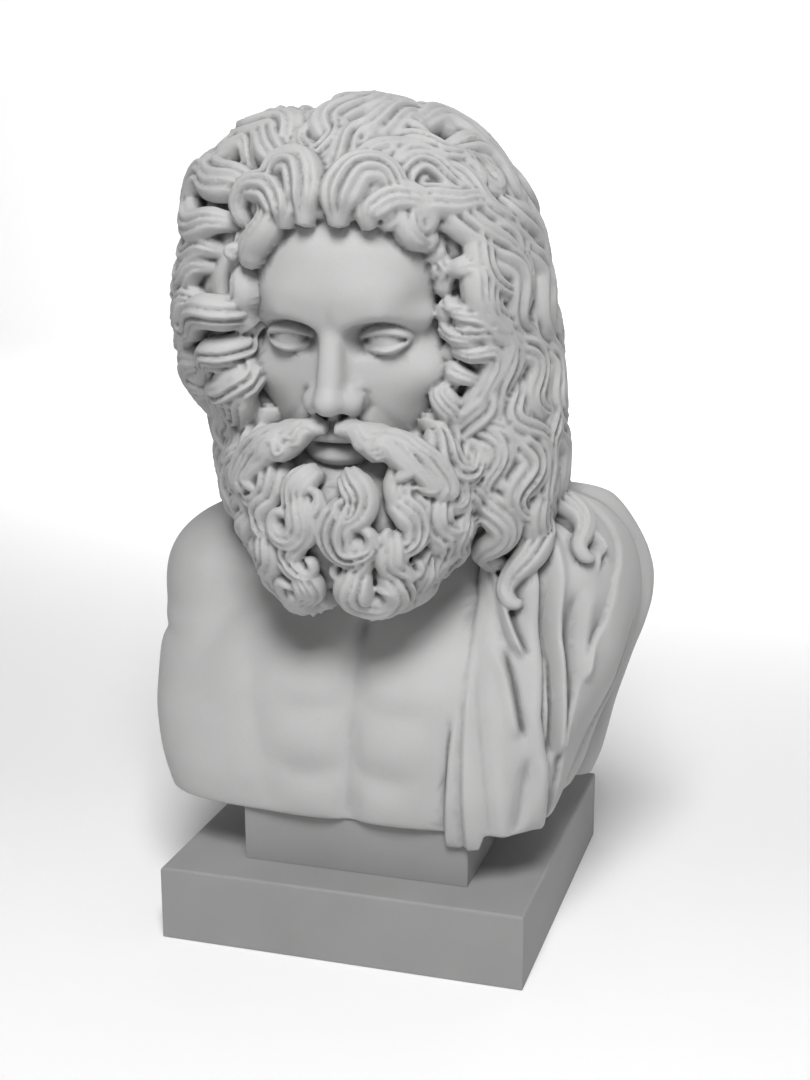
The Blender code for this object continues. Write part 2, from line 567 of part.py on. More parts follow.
# Rings of locks about the face, from the back to the hairline: degrees from the face's axis,
# reach to each side, locks in the ring, height over the mass, length, width.
HAIR_RINGS = (
    (165, 180, 4, 0.000, 0.110, 0.044),
    (146, 180, 10, 0.001, 0.110, 0.042),
    (124, 160, 16, 0.001, 0.110, 0.040),
    (103, 150, 19, 0.002, 0.105, 0.038),
    (84, 118, 15, 0.002, 0.095, 0.036),
    (67, 118, 17, 0.003, 0.090, 0.032),
    (52, 118, 18, 0.004, 0.082, 0.029),
    (0, 114, 21, 0.004, 0.068, 0.025),
)
LOCK_THICK = 0.0150
LOCK_SWING = math.radians(42.0)
LOCK_CURL = 0.0135
LONG_WAVE = 0.070

# Tiers that hang to the shoulders: height of their roots, height over the mass, length.
HANGING_TIERS = ((0.285, 0.001, 0.100), (0.315, 0.003, 0.085), (0.350, 0.005, 0.085))
HANGING_COUNT = 14

# Locks that rise over the middle of the forehead and fall to its sides: root, reach aside, height, size.
FORELOCKS = (
    (26.0, 74.0, 30.0, 0.85),
    (-25.0, -66.0, 34.0, 0.90),
    (8.0, 50.0, 48.0, 1.10),
    (-11.0, -44.0, 58.0, 1.00),
)

# Tufts along the hairline: number, degrees to each side, length; the ring behind them lies further out.
HAIRLINE_TUFTS = 26
HAIRLINE_REACH = 112
TUFT_LENGTH = 0.022
RING_INSET = 8.0

# Distance from a mass's middle that lies outside it on every side; starts settle from there.
OUTSIDE = 0.15

# Rows of the beard: degrees above its middle, pairs of locks, reach to each side, height over the mass.
BEARD_ROWS = (
    (-58, 2, 60, 0.000),
    (-40, 4, 84, 0.001),
    (-23, 4, 88, 0.003),
    (-7, 5, 98, 0.004),
    (8, 5, 98, 0.005),
    (21, 5, 100, 0.006),
    (33, 5, 104, 0.006),
    (45, 5, 106, 0.006),
)
BEARD_WIDTH = 0.0290
BEARD_LENGTH = 0.024
BEARD_CURL = 0.0130
MOUSTACHE_LOCKS = 4

def ring_starts(theta, around):
    """Points in the directions that lie theta degrees from the face's axis, around it by the angles."""
    t = math.radians(theta)
    a = np.radians(around)[:, None]
    outward = np.cos(a) * FACE_UP + np.sin(a) * FACE_SIDE
    return HAIR_C + OUTSIDE * (math.cos(t) * FACE_AXIS + math.sin(t) * outward)

def hairline(around, inset):
    """Points before the skin along the edge of the hair."""
    a = np.radians(around)
    aside = (57.0 + inset + 9.0 * (around > 0)) * np.sin(a)
    ahead = 96.0 - 40.0 * np.sin(a) ** 2
    up = 4.0 + (78.0 + inset) * np.cos(a)
    return np.stack([from_head(q) for q in np.stack([aside, ahead, up], 1)])

def from_face(p):
    """Direction away from the face's axis, angle from it in degrees, direction from the hair's middle."""
    d = unit(p - HAIR_C)
    along_axis = d @ FACE_AXIS
    return unit(d * along_axis[:, None] - FACE_AXIS), np.degrees(np.arccos(np.clip(along_axis, -1, 1))), d

def hair_flow(p):
    """Away from the face at first, then down at the sides, and apart over the forehead."""
    away, theta, d = from_face(p)
    climb = 1.0 - ease(face_opening(p.T), 0.003, 0.012)[:, None]
    away = away * (1.0 - climb) + (unit(away_flow(p)) + 0.5 * FACE_AXIS) * climb
    high = ease(d[:, 2], 0.25, 0.9)
    beside = ease(d[:, 0], 0.30, 0.55) * ease(face_opening(p.T), 0.002, 0.016)
    droop = climb[:, 0] * ease(-d[:, 0], 0.30, 0.55)
    fall = (0.35 + 0.7 * droop + 1.8 * beside + 2.4 * ease(theta, 70, 115)) * (1 - 0.75 * high)
    apart = d[:, 0] * high * (0.3 + 2.2 * ease(theta, 48, 80))
    return away + DOWN * fall[:, None] + FACE_SIDE * apart[:, None]

def away_flow(p):
    d = unit(p - HAIR_C)
    return d - FACE_AXIS * (d @ FACE_AXIS)[:, None]

def down_flow(p):
    return np.tile(DOWN, (len(p), 1))

def beard_flow(p):
    d = unit(p - BEARD_C)
    return DOWN + 0.7 * d[:, :1] * FACE_SIDE

def skin_and_beard(p):
    return smooth_min(beard_mass(p), head(p), 0.006)

def hair_and_shoulders(p):
    return smooth_min(hair_mass(p), frame_of_body(p) - 0.006, 0.010)

def skin_and_hair(p):
    return smooth_min(hair_mass(p), head(p), 0.004)

def lay_locks(heap, mass, starts, lengths, flow, rng, offset, width, swing, waves, phases, curl,
              thick=LOCK_THICK, radius=LOCK_CURL, rise=0.006, strands=4, lift=0.003, sink=0.010, **shape):
    """A row of locks. Each curl carries on its lock's last bend."""
    sides = np.where(starts[:, 0] < HAIR_C[0], -1.0, 1.0)
    lines = grow(mass, starts, lengths, flow, swing * sides, waves, phases)
    hands = np.where(np.cos(2 * math.pi * waves + phases) >= 0, sides, -sides)
    widths = np.broadcast_to(width, len(starts))
    for i, line in enumerate(lines):
        size = rng.uniform(0.85, 1.15)
        height = offset + rng.uniform(-0.002, 0.002)
        p, n = curled(mass, line, height, hands[i] * curl[i], radius * size, rise, lift, sink)
        heap.add(*sweep(p, n, widths[i] * size, thick * size, strands, rng.integers(1 << 30),
                        roll=rng.uniform(-0.3, 0.3), **shape))

def add_rings(heap, rng):
    """Rings of locks about the face. Those on the right hang in long waves that run on from lock to lock."""
    for ring, (theta, reach, number, offset, length, width) in enumerate(HAIR_RINGS):
        around = -reach + 2 * reach * (np.arange(number) + 0.5) / number
        around = around + (0.25 if ring % 2 else -0.25) * reach / number + rng.uniform(-2.5, 2.5, number)
        at_hairline = theta == 0
        over_brow = (1.0 - ease(np.abs(around), 20, 50)) * (theta < 60)
        hanging = ease(around, 25, 60) * (theta < 110)
        starts = hairline(around, RING_INSET) if at_hairline else ring_starts(theta, around)
        lengths = length * rng.uniform(0.85, 1.2, number) * (1 + 0.2 * over_brow + 0.25 * hanging)
        waves = 1.25 + rng.uniform(-0.15, 0.15, number)
        own_phase = np.radians(around) * 1.2 + 2.1 * ring
        shared_phase = 2 * math.pi * (CARVED_HEIGHT - starts[:, 2]) / LONG_WAVE
        lay_locks(
            heap, skin_and_hair if at_hairline else hair_mass, starts, lengths, hair_flow, rng,
            offset=offset,
            width=width * (1 + 0.15 * over_brow),
            swing=LOCK_SWING * (1 - 0.4 * over_brow),
            waves=waves + (lengths / LONG_WAVE - waves) * hanging,
            phases=own_phase + (shared_phase - own_phase) * hanging + rng.uniform(-0.4, 0.4, number),
            curl=rng.uniform(160, 300, number) - 80 * hanging,
            sink=0.004 if at_hairline else 0.010,
        )

def add_hanging_tiers(heap, rng):
    """Tiers of locks that hang to the shoulders and curl on them."""
    for tier, (top, offset, length) in enumerate(HANGING_TIERS):
        az = math.pi - np.radians(np.linspace(-155, 155, HANGING_COUNT) + 11.0 * tier)
        roots = top + rng.uniform(-0.01, 0.01, len(az))
        starts = np.stack([HAIR_C[0] + OUTSIDE * np.sin(az), -OUTSIDE * np.cos(az), roots], 1)
        lay_locks(
            heap, hair_and_shoulders, starts, length * rng.uniform(0.85, 1.15, len(az)), down_flow, rng,
            offset=offset,
            width=0.031,
            swing=LOCK_SWING,
            waves=1.3,
            phases=1.4 * tier + 1.5 * np.sin(az * 2) + rng.uniform(-0.5, 0.5, len(az)),
            curl=rng.uniform(170, 290, len(az)),
        )

def add_hairline_tufts(heap, rng):
    """Short tufts along the edge of the hair."""
    around = np.linspace(-HAIRLINE_REACH, HAIRLINE_REACH, HAIRLINE_TUFTS)
    around = around + rng.uniform(-1.5, 1.5, HAIRLINE_TUFTS)
    lengths = TUFT_LENGTH * rng.uniform(0.6, 1.4, HAIRLINE_TUFTS)
    lay_locks(
        heap, skin_and_hair, hairline(around, 0.0), lengths, away_flow, rng,
        offset=0.005,
        width=0.018,
        swing=math.radians(35),
        waves=0.8,
        phases=rng.uniform(0, 2 * math.pi, HAIRLINE_TUFTS),
        curl=rng.uniform(80, 220, HAIRLINE_TUFTS),
        thick=0.010, radius=0.009, rise=0.003, strands=3, sink=0.003,
    )

def add_forelocks(heap, rng):
    count = 48
    for root, reach, height, size in FORELOCKS:
        across = reach - root
        course = (
            (root, 88.0, 70.0),
            (root + 0.05 * across, 96.0, 70.0 + 0.5 * height),
            (root + 0.35 * across, 92.0, 70.0 + 0.95 * height),
            (root + 0.80 * across, 86.0, 70.0 + 0.90 * height),
            (reach, 88.0, 70.0 + 0.45 * height),
            (reach - 0.15 * across, 94.0, 70.0 + 0.15 * height),
        )
        line = resample(np.array([from_head(q) for q in course]), count)
        line = resample(smoothed(line, 10), count)
        above = 0.005 + 0.010 * size * np.sin(math.pi * np.linspace(0, 1, count))
        line = smoothed(settle(skin_and_hair, line, above, 3), 6)
        heap.add(*sweep(line, slope(skin_and_hair, line), 0.032 * size, 0.017 * size, 4,
                        rng.integers(1 << 30), taper=0.55, root=0.45))

def add_hair(heap):
    rng = np.random.default_rng(11)
    add_rings(heap, rng)
    add_hanging_tiers(heap, rng)
    add_hairline_tufts(heap, rng)
    add_forelocks(heap, rng)

def add_beard_rows(heap, rng):
    """Rows of short locks with round curls. The rows beside the mouth leave the lips free."""
    for row, (elevation, pairs, reach, offset) in enumerate(BEARD_ROWS):
        step = reach / pairs
        az = step * (np.arange(pairs) + 0.5)
        az = np.concatenate([-az, az]) + rng.uniform(-2.5, 2.5, 2 * pairs)
        clear_of_lips = -1 if elevation < 24 else 30 if elevation < 38 else 42
        az = az[np.abs(az) > clear_of_lips]
        a = np.radians(az)
        e = math.radians(elevation)
        ahead = -np.cos(a) * math.cos(e)
        out = np.stack([np.sin(a) * math.cos(e), ahead, np.full(len(a), math.sin(e))], 1)
        column = np.floor(np.abs(az) / step)
        lay_locks(
            heap, beard_mass, BEARD_C + OUTSIDE * out, BEARD_LENGTH * rng.uniform(0.85, 1.2, len(a)),
            beard_flow, rng,
            offset=offset,
            width=BEARD_WIDTH,
            swing=math.radians(30),
            waves=0.6,
            phases=math.pi * ((column + row) % 2) + 0.3,
            curl=rng.uniform(230, 330, len(a)),
            radius=BEARD_CURL, rise=0.007, taper=0.72,
        )

def add_moustache(heap, rng):
    """Locks that fan out from under the nose, over the beard, and hang at the sides of the mouth."""
    count = 44
    for side in (-1, 1):
        for k in range(MOUSTACHE_LOCKS):
            reach = 35.0 + 9.0 * k
            low = -108.0 + 3.0 * k
            course = (
                (3.0 + 2.0 * k, 102.0, -50.0 + 0.5 * k),
                (0.40 * reach, 104.0, -54.0 - 0.5 * k),
                (0.72 * reach, 101.0, -64.0 + 0.5 * k),
                (0.96 * reach, 94.0, 0.60 * low - 18.0),
                (1.04 * reach, 90.0, 0.85 * low - 9.0),
                (0.98 * reach, 90.0, low),
                (0.86 * reach, 93.0, low - 2.0),
            )
            line = np.array([from_head((side * q[0], q[1], q[2])) for q in course])
            line = resample(smoothed(resample(line, count), 5), count)
            above = 0.006 + 0.012 * ease(np.linspace(0, 1, count), 0.10, 0.50) - 0.0006 * k
            line = smoothed(settle(skin_and_beard, line, above, 3), 3)
            heap.add(*sweep(line, slope(skin_and_beard, line), 0.020, 0.015, 3, rng.integers(1 << 30),
                            taper=0.4))

def add_beard(heap):
    rng = np.random.default_rng(5)
    add_beard_rows(heap, rng)
    add_moustache(heap, rng)

# The solids.

def largest_shell(mesh):
    """Deletes every closed shell but the largest, such as bubbles sealed in by overlapping locks."""
    bm = bmesh.new()
    bm.from_mesh(mesh)
    bm.verts.ensure_lookup_table()
    seen = np.zeros(len(bm.verts), bool)
    shells = []
    for start in bm.verts:
        if seen[start.index]:
            continue
        seen[start.index] = True
        shell = [start]
        for vert in shell:
            for edge in vert.link_edges:
                other = edge.other_vert(vert)
                if not seen[other.index]:
                    seen[other.index] = True
                    shell.append(other)
        shells.append(shell)
    shells.sort(key=len)
    for shell in shells[:-1]:
        bmesh.ops.delete(bm, geom=shell, context="VERTS")
    bm.to_mesh(mesh)
    bm.free()

def evaluated(obj, name):
    """The object's mesh as its modifiers leave it."""
    graph = bpy.context.evaluated_depsgraph_get()
    mesh = bpy.data.meshes.new_from_object(obj.evaluated_get(graph))
    mesh.name = name
    return mesh

def stone(name):
    material = bpy.data.materials.new(name)
    material.use_nodes = True
    shader = material.node_tree.nodes["Principled BSDF"]
    shader.inputs["Base Color"].default_value = (0.52, 0.52, 0.51, 1.0)
    shader.inputs["Roughness"].default_value = 0.75
    shader.inputs["Metallic"].default_value = 0.0
    return material

def block(name, width, depth, height, base, aside, bevel):
    """A block that stands at the height base, with a bevel round its upper edge."""
    bm = bmesh.new()
    bmesh.ops.create_cube(bm, size=1.0)
    bmesh.ops.scale(bm, vec=(width, depth, height), verts=bm.verts)
    if bevel:
        upper = [edge for edge in bm.edges if all(vert.co.z > 0 for vert in edge.verts)]
        bmesh.ops.bevel(bm, geom=upper, offset=bevel, segments=3, profile=0.5, affect="EDGES")
    mesh = bpy.data.meshes.new(name)
    bm.to_mesh(mesh)
    bm.free()
    obj = bpy.data.objects.new(name, mesh)
    obj.location = (aside, 0.0, base + height / 2)
    obj.data.materials.append(stone(name))
    bpy.context.scene.collection.objects.link(obj)
    return obj

def underside(p):
    """Height that the bust is cut at: a little low over the riser, where the flat seat is cut later."""
    return np.where(p[1] > SEAT_FRONT + SEAT_MARGIN, -SEAT_SPARE, 0.0)

def cut_body(p):
    return smooth_max(body(p), underside(p) - p[2], EDGE_ROUND)

def cut_cloak(p):
    hem = np.where(p[1] < HEM_BACK, -HEM_DROP / SCALE, underside(p))
    return smooth_max(cloak(p), hem - p[2], EDGE_ROUND)

def carve_bust():
    heap = Heap()
    heap.add(*sample(cut_body, BODY_SPACE, BODY_STEP))
    heap.add(*sample(cut_cloak, CLOAK_SPACE, CLOAK_STEP))
    heap.add(*sample(head, HEAD_SPACE, HEAD_STEP))
    heap.add(*sample(masses, HAIR_SPACE, BODY_STEP))
    add_hair(heap)
    add_beard(heap)
    points = np.concatenate(heap.points)
    raw = mesh_object("bust_raw", points, np.concatenate(heap.faces))
    remesh = raw.modifiers.new("one_skin", "REMESH")
    remesh.mode = "VOXEL"
    remesh.voxel_size = VOXEL
    skin = evaluated(raw, "bust_skin")
    largest_shell(skin)
    skin_object = bpy.data.objects.new("bust_skin", skin)
    bpy.context.scene.collection.objects.link(skin_object)
    smooth = skin_object.modifiers.new("smooth", "SMOOTH")
    smooth.factor = 0.5
    smooth.iterations = 1
    decimate = skin_object.modifiers.new("decimate", "DECIMATE")
    triangles = sum(len(face.vertices) - 2 for face in skin.polygons)
    decimate.ratio = BUST_TRIANGLES / triangles
    mesh = evaluated(skin_object, "bust")
    mesh.transform(Matrix.Scale(SCALE, 4))
    bpy.data.objects.remove(raw)
    bpy.data.objects.remove(skin_object)
    largest_shell(mesh)
    bust = bpy.data.objects.new("bust", mesh)
    bust.location = (0.0, 0.0, SLAB_HEIGHT + CLEARANCE + RISER_HEIGHT + CLEARANCE)
    bust.data.materials.append(stone("bust"))
    bpy.context.scene.collection.objects.link(bust)
    return bust

def seat_cutter(bust):
    """Cuts the flat seat under the bust, from just before the riser to behind the bust."""
    width = 2 * BUST_HEIGHT
    depth = BUST_HEIGHT
    height = RISER_HEIGHT
    cutter = block("seat_cutter", width, depth, height, bust.location.z - height, 0.0, 0.0)
    cutter.location.y = SEAT_FRONT * SCALE + depth / 2
    cutter.hide_render = True
    cutter.display_type = "WIRE"
    seat = bust.modifiers.new("seat", "BOOLEAN")
    seat.operation = "DIFFERENCE"
    seat.object = cutter
    return cutter

# In the carving's own measures: front of the seat, back of the hem that hangs before the riser,
# stone left over the seat for its cut, and the rounding of the lower edges.
SEAT_FRONT = -(RISER_DEPTH / 2 + CLEARANCE) / SCALE
HEM_BACK = -(RISER_DEPTH / 2 + HEM_CLEARANCE) / SCALE
SEAT_MARGIN = 0.002
SEAT_SPARE = 0.004
EDGE_ROUND = 0.002

def main():
    for obj in list(bpy.data.objects):
        bpy.data.objects.remove(obj)
    block("plinth_slab", SLAB_WIDTH, SLAB_DEPTH, SLAB_HEIGHT, 0.0, 0.0, SLAB_BEVEL)
    block("riser_block", RISER_WIDTH, RISER_DEPTH, RISER_HEIGHT, SLAB_HEIGHT + CLEARANCE, RISER_ASIDE, 0.0)
    seat_cutter(carve_bust())

main()
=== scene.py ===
"""Looks of the bust: the finely carved stone, its finish, the floor, the light and the camera.

The carving is worked out in a frame of its own (X to the viewer's right, Y back, z = 0 at the bust's
underside), in metres of a bust CARVED_HEIGHT high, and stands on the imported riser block.
"""
import json
import math

import bmesh
import bpy
import numpy as np
from mathutils import Matrix, Vector

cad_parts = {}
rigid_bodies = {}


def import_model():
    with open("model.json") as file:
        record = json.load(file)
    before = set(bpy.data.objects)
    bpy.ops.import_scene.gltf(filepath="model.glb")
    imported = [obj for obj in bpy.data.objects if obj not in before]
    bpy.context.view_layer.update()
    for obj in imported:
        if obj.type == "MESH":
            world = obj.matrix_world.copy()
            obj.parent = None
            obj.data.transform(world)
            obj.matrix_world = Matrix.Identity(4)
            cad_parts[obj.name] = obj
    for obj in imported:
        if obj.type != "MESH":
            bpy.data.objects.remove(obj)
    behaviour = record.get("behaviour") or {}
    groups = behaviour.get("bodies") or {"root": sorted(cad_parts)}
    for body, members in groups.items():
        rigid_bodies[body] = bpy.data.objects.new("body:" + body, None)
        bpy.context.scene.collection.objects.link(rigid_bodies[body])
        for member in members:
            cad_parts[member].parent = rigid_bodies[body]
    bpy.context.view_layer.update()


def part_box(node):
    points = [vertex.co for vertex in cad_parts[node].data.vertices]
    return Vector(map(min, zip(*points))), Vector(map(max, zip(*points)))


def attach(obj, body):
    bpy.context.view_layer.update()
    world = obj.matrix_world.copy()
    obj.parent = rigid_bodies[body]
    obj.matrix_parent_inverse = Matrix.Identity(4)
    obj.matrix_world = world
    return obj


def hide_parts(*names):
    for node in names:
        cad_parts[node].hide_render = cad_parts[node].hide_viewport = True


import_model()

# The bust's place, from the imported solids.
CARVED_HEIGHT = 0.560
CLEARANCE = 0.0003
HEM_DROP = 0.012
HEM_CLEARANCE = 0.003
riser_low, riser_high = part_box("riser_block")
BASE = riser_high[2] + CLEARANCE
HEM_BACK = riser_low[1] - HEM_CLEARANCE
EDGE_ROUND = 0.0015

# Fineness of the carved surface.
BODY_STEP = 0.0022
HEAD_STEP = 0.0011
CLOAK_STEP = 0.0015
VOXEL = 0.0012
SMOOTHING_ROUNDS = 2
BUST_TRIANGLES = 195000

# Depths below the surroundings where the painted shade in the grooves starts and where it is darkest.
SHADE_START_DEPTH = 0.0001
SHADE_FULL_DEPTH = 0.0011

# Fields: below zero inside, metres away from the surface outside.

def smooth_min(a, b, k):
    h = np.clip(0.5 + 0.5 * (b - a) / k, 0.0, 1.0)
    return b + (a - b) * h - k * h * (1.0 - h)

def smooth_max(a, b, k):
    return -smooth_min(-a, -b, k)

def ellipsoid(p, centre, radii):
    q = [(p[i] - centre[i]) / radii[i] for i in range(3)]
    k0 = np.sqrt(q[0] ** 2 + q[1] ** 2 + q[2] ** 2) + 1e-9
    k1 = np.sqrt(sum((q[i] / radii[i]) ** 2 for i in range(3))) + 1e-9
    return k0 * (k0 - 1.0) / k1

def capsule(p, a, b, ra, rb):
    ab = [b[i] - a[i] for i in range(3)]
    length2 = sum(v * v for v in ab)
    t = sum((p[i] - a[i]) * ab[i] for i in range(3)) / length2
    t = np.clip(t, 0.0, 1.0)
    d = np.sqrt(sum((p[i] - a[i] - ab[i] * t) ** 2 for i in range(3)))
    return d - (ra + (rb - ra) * t)

def ease(v, low, high):
    t = np.clip((v - low) / (high - low), 0.0, 1.0)
    return t * t * (3.0 - 2.0 * t)

def mound(p, centre, size, height):
    q = sum(((p[i] - centre[i]) / size[i]) ** 2 for i in range(3))
    return height * np.exp(-q)

# Corners of the spaces that hold the body, the cloak, the head's front and the hair with the beard.
BODY_SPACE = ((-0.230, -0.170, -0.014), (0.230, 0.130, 0.300))
CLOAK_SPACE = ((0.030, -0.170, -0.020), (0.240, 0.140, 0.280))
HEAD_SPACE = ((-0.105, -0.190, 0.255), (0.095, 0.000, 0.515))
HAIR_SPACE = ((-0.175, -0.190, 0.140), (0.170, 0.110, 0.575))

# Torso at each height: half width on the bare and on the cloaked side, front, back.
TORSO = (
    (-0.02, 0.166, 0.136, -0.114, 0.055),
    (0.000, 0.174, 0.142, -0.119, 0.062),
    (0.030, 0.186, 0.150, -0.122, 0.074),
    (0.065, 0.197, 0.160, -0.118, 0.084),
    (0.100, 0.202, 0.174, -0.107, 0.092),
    (0.130, 0.203, 0.182, -0.090, 0.098),
    (0.155, 0.195, 0.181, -0.070, 0.100),
    (0.180, 0.176, 0.171, -0.048, 0.098),
    (0.205, 0.140, 0.146, -0.030, 0.092),
    (0.230, 0.098, 0.100, -0.020, 0.080),
    (0.260, 0.070, 0.070, -0.020, 0.065),
)

def rounded_columns(table, count=200, reach=12):
    """The table's columns at even heights, with the bends between its rows rounded."""
    table = np.array(table)
    heights = np.linspace(table[0, 0], table[-1, 0], count)
    kernel = np.hanning(2 * reach + 1)
    kernel /= kernel.sum()
    columns = [heights]
    for column in table.T[1:]:
        even = np.interp(heights, table[:, 0], column)
        columns.append(np.convolve(np.pad(even, reach, mode="edge"), kernel, "valid"))
    return columns

TORSO_COLUMNS = rounded_columns(TORSO)

def torso_size(z, column):
    return np.interp(z, TORSO_COLUMNS[0], TORSO_COLUMNS[column]).astype(np.float32)

def torso(p):
    x, y, z = p
    half = np.where(x < 0.0, torso_size(z, 1), torso_size(z, 2))
    front, back = torso_size(z, 3), torso_size(z, 4)
    power = 4.2 - 1.6 * ease(z, -0.01, 0.12)
    middle = front * 0.45 + back * 0.55
    depth = np.where(y < middle, middle - front, back - middle)
    u = np.abs(x) / half
    v = np.abs(y - middle) / depth
    rho = (u ** power + v ** power) ** (1.0 / power)
    return (rho - 1.0) * np.minimum(half, depth) * 0.9

def frame_of_body(p):
    """Torso, shoulders and neck without the muscles."""
    x, y, z = p
    m = (np.abs(x), y, z)
    f = torso(p)
    f = smooth_min(f, ellipsoid(p, (-0.135, 0.020, 0.166), (0.070, 0.074, 0.056)), 0.018)
    f = smooth_min(f, ellipsoid(p, (0.133, 0.020, 0.181), (0.062, 0.070, 0.060)), 0.018)
    slant = np.where(x < 0.0, 0.176, 0.185)
    f = smooth_min(f, capsule(m, (0.0, 0.035, 0.212), (0.135, 0.04, slant), 0.052, 0.036), 0.030)
    return smooth_min(f, capsule(p, (0.0, 0.022, 0.120), (-0.004, -0.015, 0.330), 0.072, 0.062), 0.030)

# Arches under the breast and the row below it: height, fall to the sides, depth, reach, half width.
MUSCLE_ARCHES = ((0.089, 0.16, 0.0027, 0.080, 0.0105), (0.037, 0.20, 0.0022, 0.068, 0.0100))

def body(p):
    x, y, z = p
    ax = np.abs(x)
    m = (ax, y, z)
    front = ease(-y, 0.0, 0.03)
    f = frame_of_body(p)
    # collar bones and the two cords of the neck
    f = smooth_min(f, capsule(m, (0.016, -0.066, 0.137), (0.115, -0.030, 0.176), 0.0075, 0.0065), 0.016)
    f = smooth_min(f, capsule(m, (0.012, -0.058, 0.142), (0.052, -0.010, 0.260), 0.009, 0.012), 0.018)
    f = f + mound(p, (0.0, -0.070, 0.146), (0.010, 0.03, 0.012), 0.006)
    # breast muscles and the two rows below them
    f = f - mound(m, (0.060, -0.095, 0.108), (0.050, 0.05, 0.030), 0.0082)
    f = f - mound(m, (0.036, -0.112, 0.064), (0.030, 0.05, 0.022), 0.0044)
    f = f - mound(m, (0.036, -0.120, 0.014), (0.030, 0.05, 0.019), 0.0036)
    # the furrow down the middle, the arches under breast and row, the edge towards the side
    furrow = np.exp(-(x / 0.0105) ** 2) * ease(z, -0.03, 0.02) * (1.0 - ease(z, 0.118, 0.145))
    f = f + 0.0048 * furrow * front
    for level, drop, depth, reach, wide in MUSCLE_ARCHES:
        line = level + drop * np.abs(ax - 0.036) ** 1.5 / 0.036 ** 0.5
        cut = np.exp(-((z - line) / wide) ** 2) * (1.0 - ease(ax, reach * 0.55, reach))
        cut = cut * ease(ax, 0.002, 0.016)
        f = f + depth * cut * front
    side = np.exp(-((ax - 0.074 - 0.20 * (z - 0.05)) / 0.012) ** 2)
    side = side * ease(z, 0.0, 0.03) * (1 - ease(z, 0.12, 0.145))
    f = f + 0.0017 * side * front
    # the crease between shoulder and arm, and the hollow below the collar bone
    crease = 0.120 + 5.0 * (ax - 0.195) ** 2
    f = f + 0.0018 * np.exp(-((z - crease) / 0.007) ** 2) * ease(-x, 0.150, 0.190)
    hollow = np.exp(-((ax - 0.118 + 0.5 * (z - 0.15)) / 0.014) ** 2)
    hollow = hollow * ease(z, 0.09, 0.14) * (1 - ease(z, 0.165, 0.19))
    return f + 0.0030 * hollow * front

# Head: life-size millimetres (aside, ahead, up) from a point between the ears.
HEAD = np.array((-0.008, -0.025, 0.401))
FACE = 1.18e-3
PITCH = math.radians(10.0)
YAW = math.radians(2.0)

def turned(v, angle):
    """The direction turned about the upright axis."""
    c, r = math.cos(angle), math.sin(angle)
    return np.array((v[0] * c - v[1] * r, v[0] * r + v[1] * c, v[2]))

UP = turned(np.array((0.0, -math.sin(PITCH), math.cos(PITCH))), YAW)
AHEAD = turned(np.array((0.0, -math.cos(PITCH), -math.sin(PITCH))), YAW)
ASIDE = turned(np.array((1.0, 0.0, 0.0)), YAW)

def to_head(p):
    d = [p[i] - HEAD[i] for i in range(3)]
    return tuple(sum(d[i] * axis[i] for i in range(3)) / FACE for axis in (ASIDE, AHEAD, UP))

def from_head(q):
    return HEAD + FACE * (ASIDE * q[0] + AHEAD * q[1] + UP * q[2])

